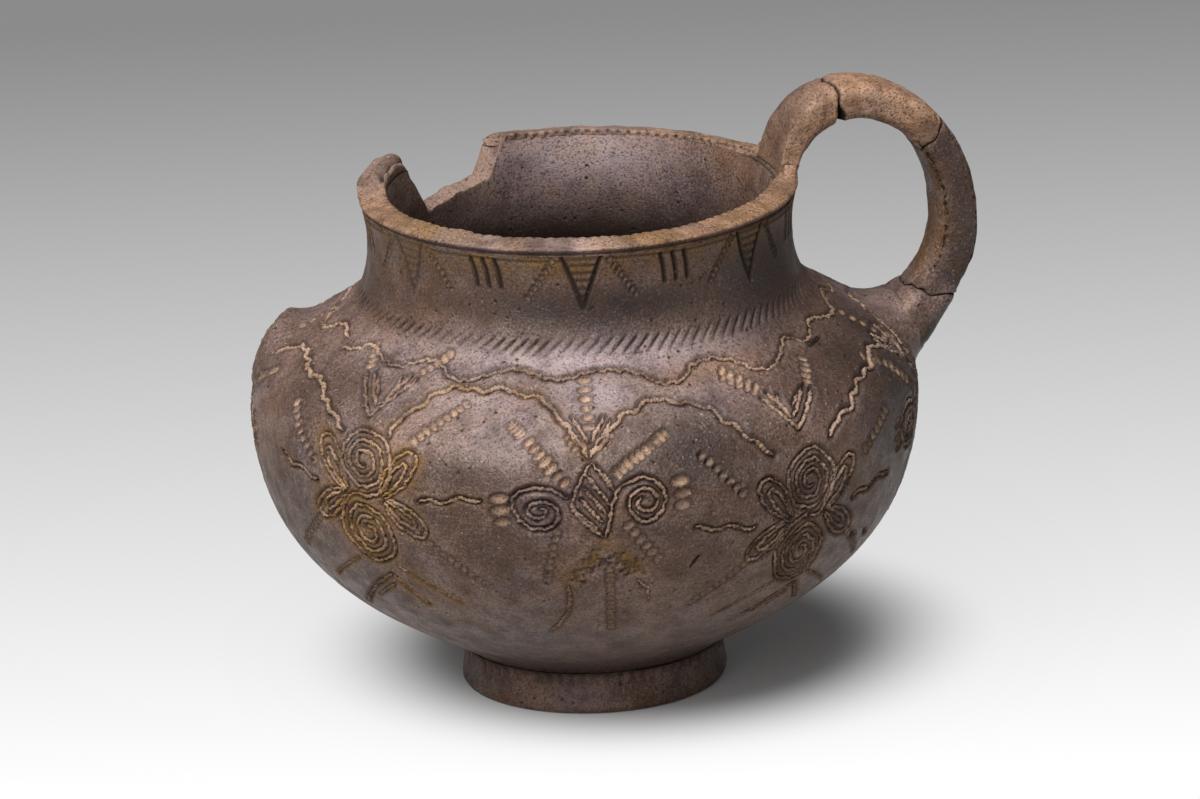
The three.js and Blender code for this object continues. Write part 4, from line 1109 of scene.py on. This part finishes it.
worn_pink = fired_clay(
    "worn_pink_clay", 0xB08668, 0x9C755A, 0xAE8D78, grit=0.3, gloss=0.48, matt=0.72, pores=1.5)
# Its dark ochre tint, used on the arm's inner face, is darkened as painted shade.
arm_tan = fired_clay(
    "smoked_tan_clay", 0x74584A, 0x5E493E, 0x603F20, grit=0.35, gloss=0.42, matt=0.66, pores=1.5)
root_pink = fired_clay(
    "rubbed_root_clay", 0x8A6F64, 0x7A6055, 0xA67F60, grit=0.4, gloss=0.34, matt=0.58)
for name, first, last, breaks, clay, finish in (
        ("handle_rim_root", 2.5, crown_break, (None, chipped_crown_face), worn_pink, "pink_tan_clay"),
        ("handle_crown", crown_break, arm_break, (crown_face, arm_face), worn_pink, "pink_tan_clay"),
        ("handle_outer_arm", arm_break, lower_break, (arm_face, lower_face), arm_tan, "tan_clay"),
        ("handle_shoulder_root", lower_break, strap_length, (lower_face, None), root_pink,
         "grey_burnished_clay")):
    sherd = strap_sherd(name, first, last, breaks, clay)
    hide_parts(name)

# Stumps of the lost handle: the same strap broken off at the lip and at the shoulder, back left.
# Their broken faces are rough and pinkish, with sand and a few white grains standing out.
broken_pink = fired_clay(
    "broken_pink_clay", 0x7E6458, 0x6C544A, 0xAA8876, grit=0.8, gloss=0.75, matt=0.92)


def rim_stump_face(side, up):
    """Rough scar on the lip."""
    return 0.35 * broken_face(6.4, side, up)


def shoulder_stump_face(side, up):
    """Worn face that leans back toward the belly."""
    return 0.2 * broken_face(strap_length - 5.6, side, up) + 0.3 * up


stub_start = strap_length - root_depth - 2.0
for name, first, last, breaks, worn_in, round_off in (
        ("lost_handle_rim_stump", 1.5, root_depth + 2.8, (None, rim_stump_face), 0.0, 1.9),
        ("lost_handle_shoulder_stump", stub_start, strap_length, (shoulder_stump_face, None), 1.5, 0.0)):
    stump = strap_sherd(name, first, last, breaks, broken_pink, handle_angles[1], worn_in, round_off)
    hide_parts(name)

# Table and light: a pale sweep of paper that greys with distance, a broad soft light overhead and toward
# the viewer's left, a weaker one lower down on that side, and a low even fill. Reflections show the sweep
# as the camera sees it, and as a source of bounced light it is dark grey.
sweep_mesh = bpy.data.meshes.new("table_sweep")
sweep_mesh.from_pydata([(-7, -7, 0), (7, -7, 0), (7, 7, 0), (-7, 7, 0)], [], [(0, 1, 2, 3)])
table_sweep = bpy.data.objects.new("table_sweep", sweep_mesh)
bpy.context.scene.collection.objects.link(table_sweep)
table_sweep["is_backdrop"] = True
sweep_paper = bpy.data.materials.new("matt_sweep_paper")
sweep_paper.use_nodes = True
tree = sweep_paper.node_tree
tree.nodes.clear()
here = add(tree, "ShaderNodeTexCoord").outputs["Object"]
from_viewer = (0.2588, 0.9659, 0)
along_view = add(tree, "ShaderNodeVectorMath", {0: here, 1: from_viewer}, operation="DOT_PRODUCT")
away = along_view.outputs["Value"]
nearness = add(tree, "ShaderNodeMapRange", {0: away, 1: 0.63, 2: -0.083, 3: 0, 4: 1}).outputs[0]
fall = add(tree, "ShaderNodeMath", {0: nearness, 1: 1.2}, operation="POWER").outputs[0]
grey = add(tree, "ShaderNodeMapRange", {0: fall, 1: 0, 2: 1, 3: 0.168, 4: 0.63}).outputs[0]
ray = add(tree, "ShaderNodeLightPath").outputs
passed_on = {0: ray["Is Glossy Ray"], 1: ray["Is Transmission Ray"]}
mirrored = add(tree, "ShaderNodeMath", passed_on, operation="MAXIMUM").outputs[0]
seen = add(tree, "ShaderNodeMath", {0: ray["Is Camera Ray"], 1: mirrored}, operation="MAXIMUM").outputs[0]
bounce = 0.2
shown = add(tree, "ShaderNodeMix", {0: seen, 2: bounce, 3: grey}).outputs[0]
# Seen by the camera, the paper glows everywhere except close round the foot: a painted light that keeps the
# jar's cast shadow only there, centred a little behind and to the right of its axis.
shadow_middle = (0.009, 0.018, 0)
to_shadow = add(tree, "ShaderNodeVectorMath", {0: here, 1: shadow_middle}, operation="DISTANCE")
fade = {0: to_shadow.outputs["Value"], 1: 0.046, 2: 0.093, 3: 0.03, 4: 0.9}
lifted = add(tree, "ShaderNodeMapRange", fade, interpolation_type="SMOOTHSTEP").outputs[0]
glow = add(tree, "ShaderNodeMath", {0: seen, 1: lifted}, operation="MULTIPLY").outputs[0]
paper = add(tree, "ShaderNodeBsdfDiffuse", {"Color": shown}).outputs[0]
bright = add(tree, "ShaderNodeEmission", {"Color": shown, "Strength": 1.6}).outputs[0]
evened = add(tree, "ShaderNodeMixShader", {0: glow, 1: paper, 2: bright}).outputs[0]
add(tree, "ShaderNodeOutputMaterial", {"Surface": evened})
sweep_mesh.materials.append(sweep_paper)

view_turn = np.radians(-15)
view_right = np.array((np.cos(view_turn), np.sin(view_turn), 0))
view_away = np.array((-np.sin(view_turn), np.cos(view_turn), 0))
jar_middle = np.array((jar_axis * 0.001, 0, 0.065))


def aimed(place, target, roll=0.0):
    """Matrix that stands at a place and looks at a target along its own -Z, turned by roll about it."""
    back = (place - target) / np.linalg.norm(place - target)
    right = np.cross((0, 0, 1), back)
    right /= np.linalg.norm(right)
    up = np.cross(back, right)
    turned_right = np.cos(roll) * right - np.sin(roll) * up
    turned_up = np.sin(roll) * right + np.cos(roll) * up
    matrix = np.eye(4)
    matrix[:3] = np.stack([turned_right, turned_up, back, place], -1)
    return Matrix(matrix.tolist())


for name, right, away, up, width, watts in (
        ("ceiling_light", -0.4, -0.75, 1.6, 1.8, 62), ("window_light", -0.7, -1.9, 1.0, 1.2, 12)):
    light = bpy.data.lights.new(name, "AREA")
    light.shape, light.size, light.energy = "DISK", width, watts
    lamp = bpy.data.objects.new(name, light)
    lamp.matrix_world = aimed(jar_middle + right * view_right + away * view_away + (0, 0, up), jar_middle)
    bpy.context.scene.collection.objects.link(lamp)

world = bpy.data.worlds.new("studio_fill")
world.use_nodes = True
world.node_tree.nodes["Background"].inputs["Color"].default_value = linear(0xE6E6E6)
world.node_tree.nodes["Background"].inputs["Strength"].default_value = 0.14
bpy.context.scene.world = world
bpy.context.scene.view_settings.view_transform = "Standard"

# Camera: a long lens from the front, 17.5 degrees above the table and tipped 2 degrees, placed so that
# the jar's axis stands a little left of and below the picture's middle.
lens = bpy.data.cameras.new("camera")
lens.lens, lens.sensor_width, lens.sensor_fit = 300, 36, "HORIZONTAL"
lens.clip_start, lens.clip_end = 0.1, 50
camera = bpy.data.objects.new("camera", lens)
elevation, distance, tip = np.radians(17.5), 2.5, np.radians(2)
view_back = -np.cos(elevation) * view_away + np.array((0, 0, np.sin(elevation)))
camera.matrix_world = aimed(jar_middle + distance * view_back, jar_middle, tip)
frame_right, frame_up = (np.array(camera.matrix_world.col[k][:3]) for k in (0, 1))
camera.location = jar_middle + distance * view_back + 0.0035 * frame_right + 0.0067 * frame_up
bpy.context.scene.collection.objects.link(camera)
bpy.context.scene.camera = camera

bpy.context.view_layer.update()
low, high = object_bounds()
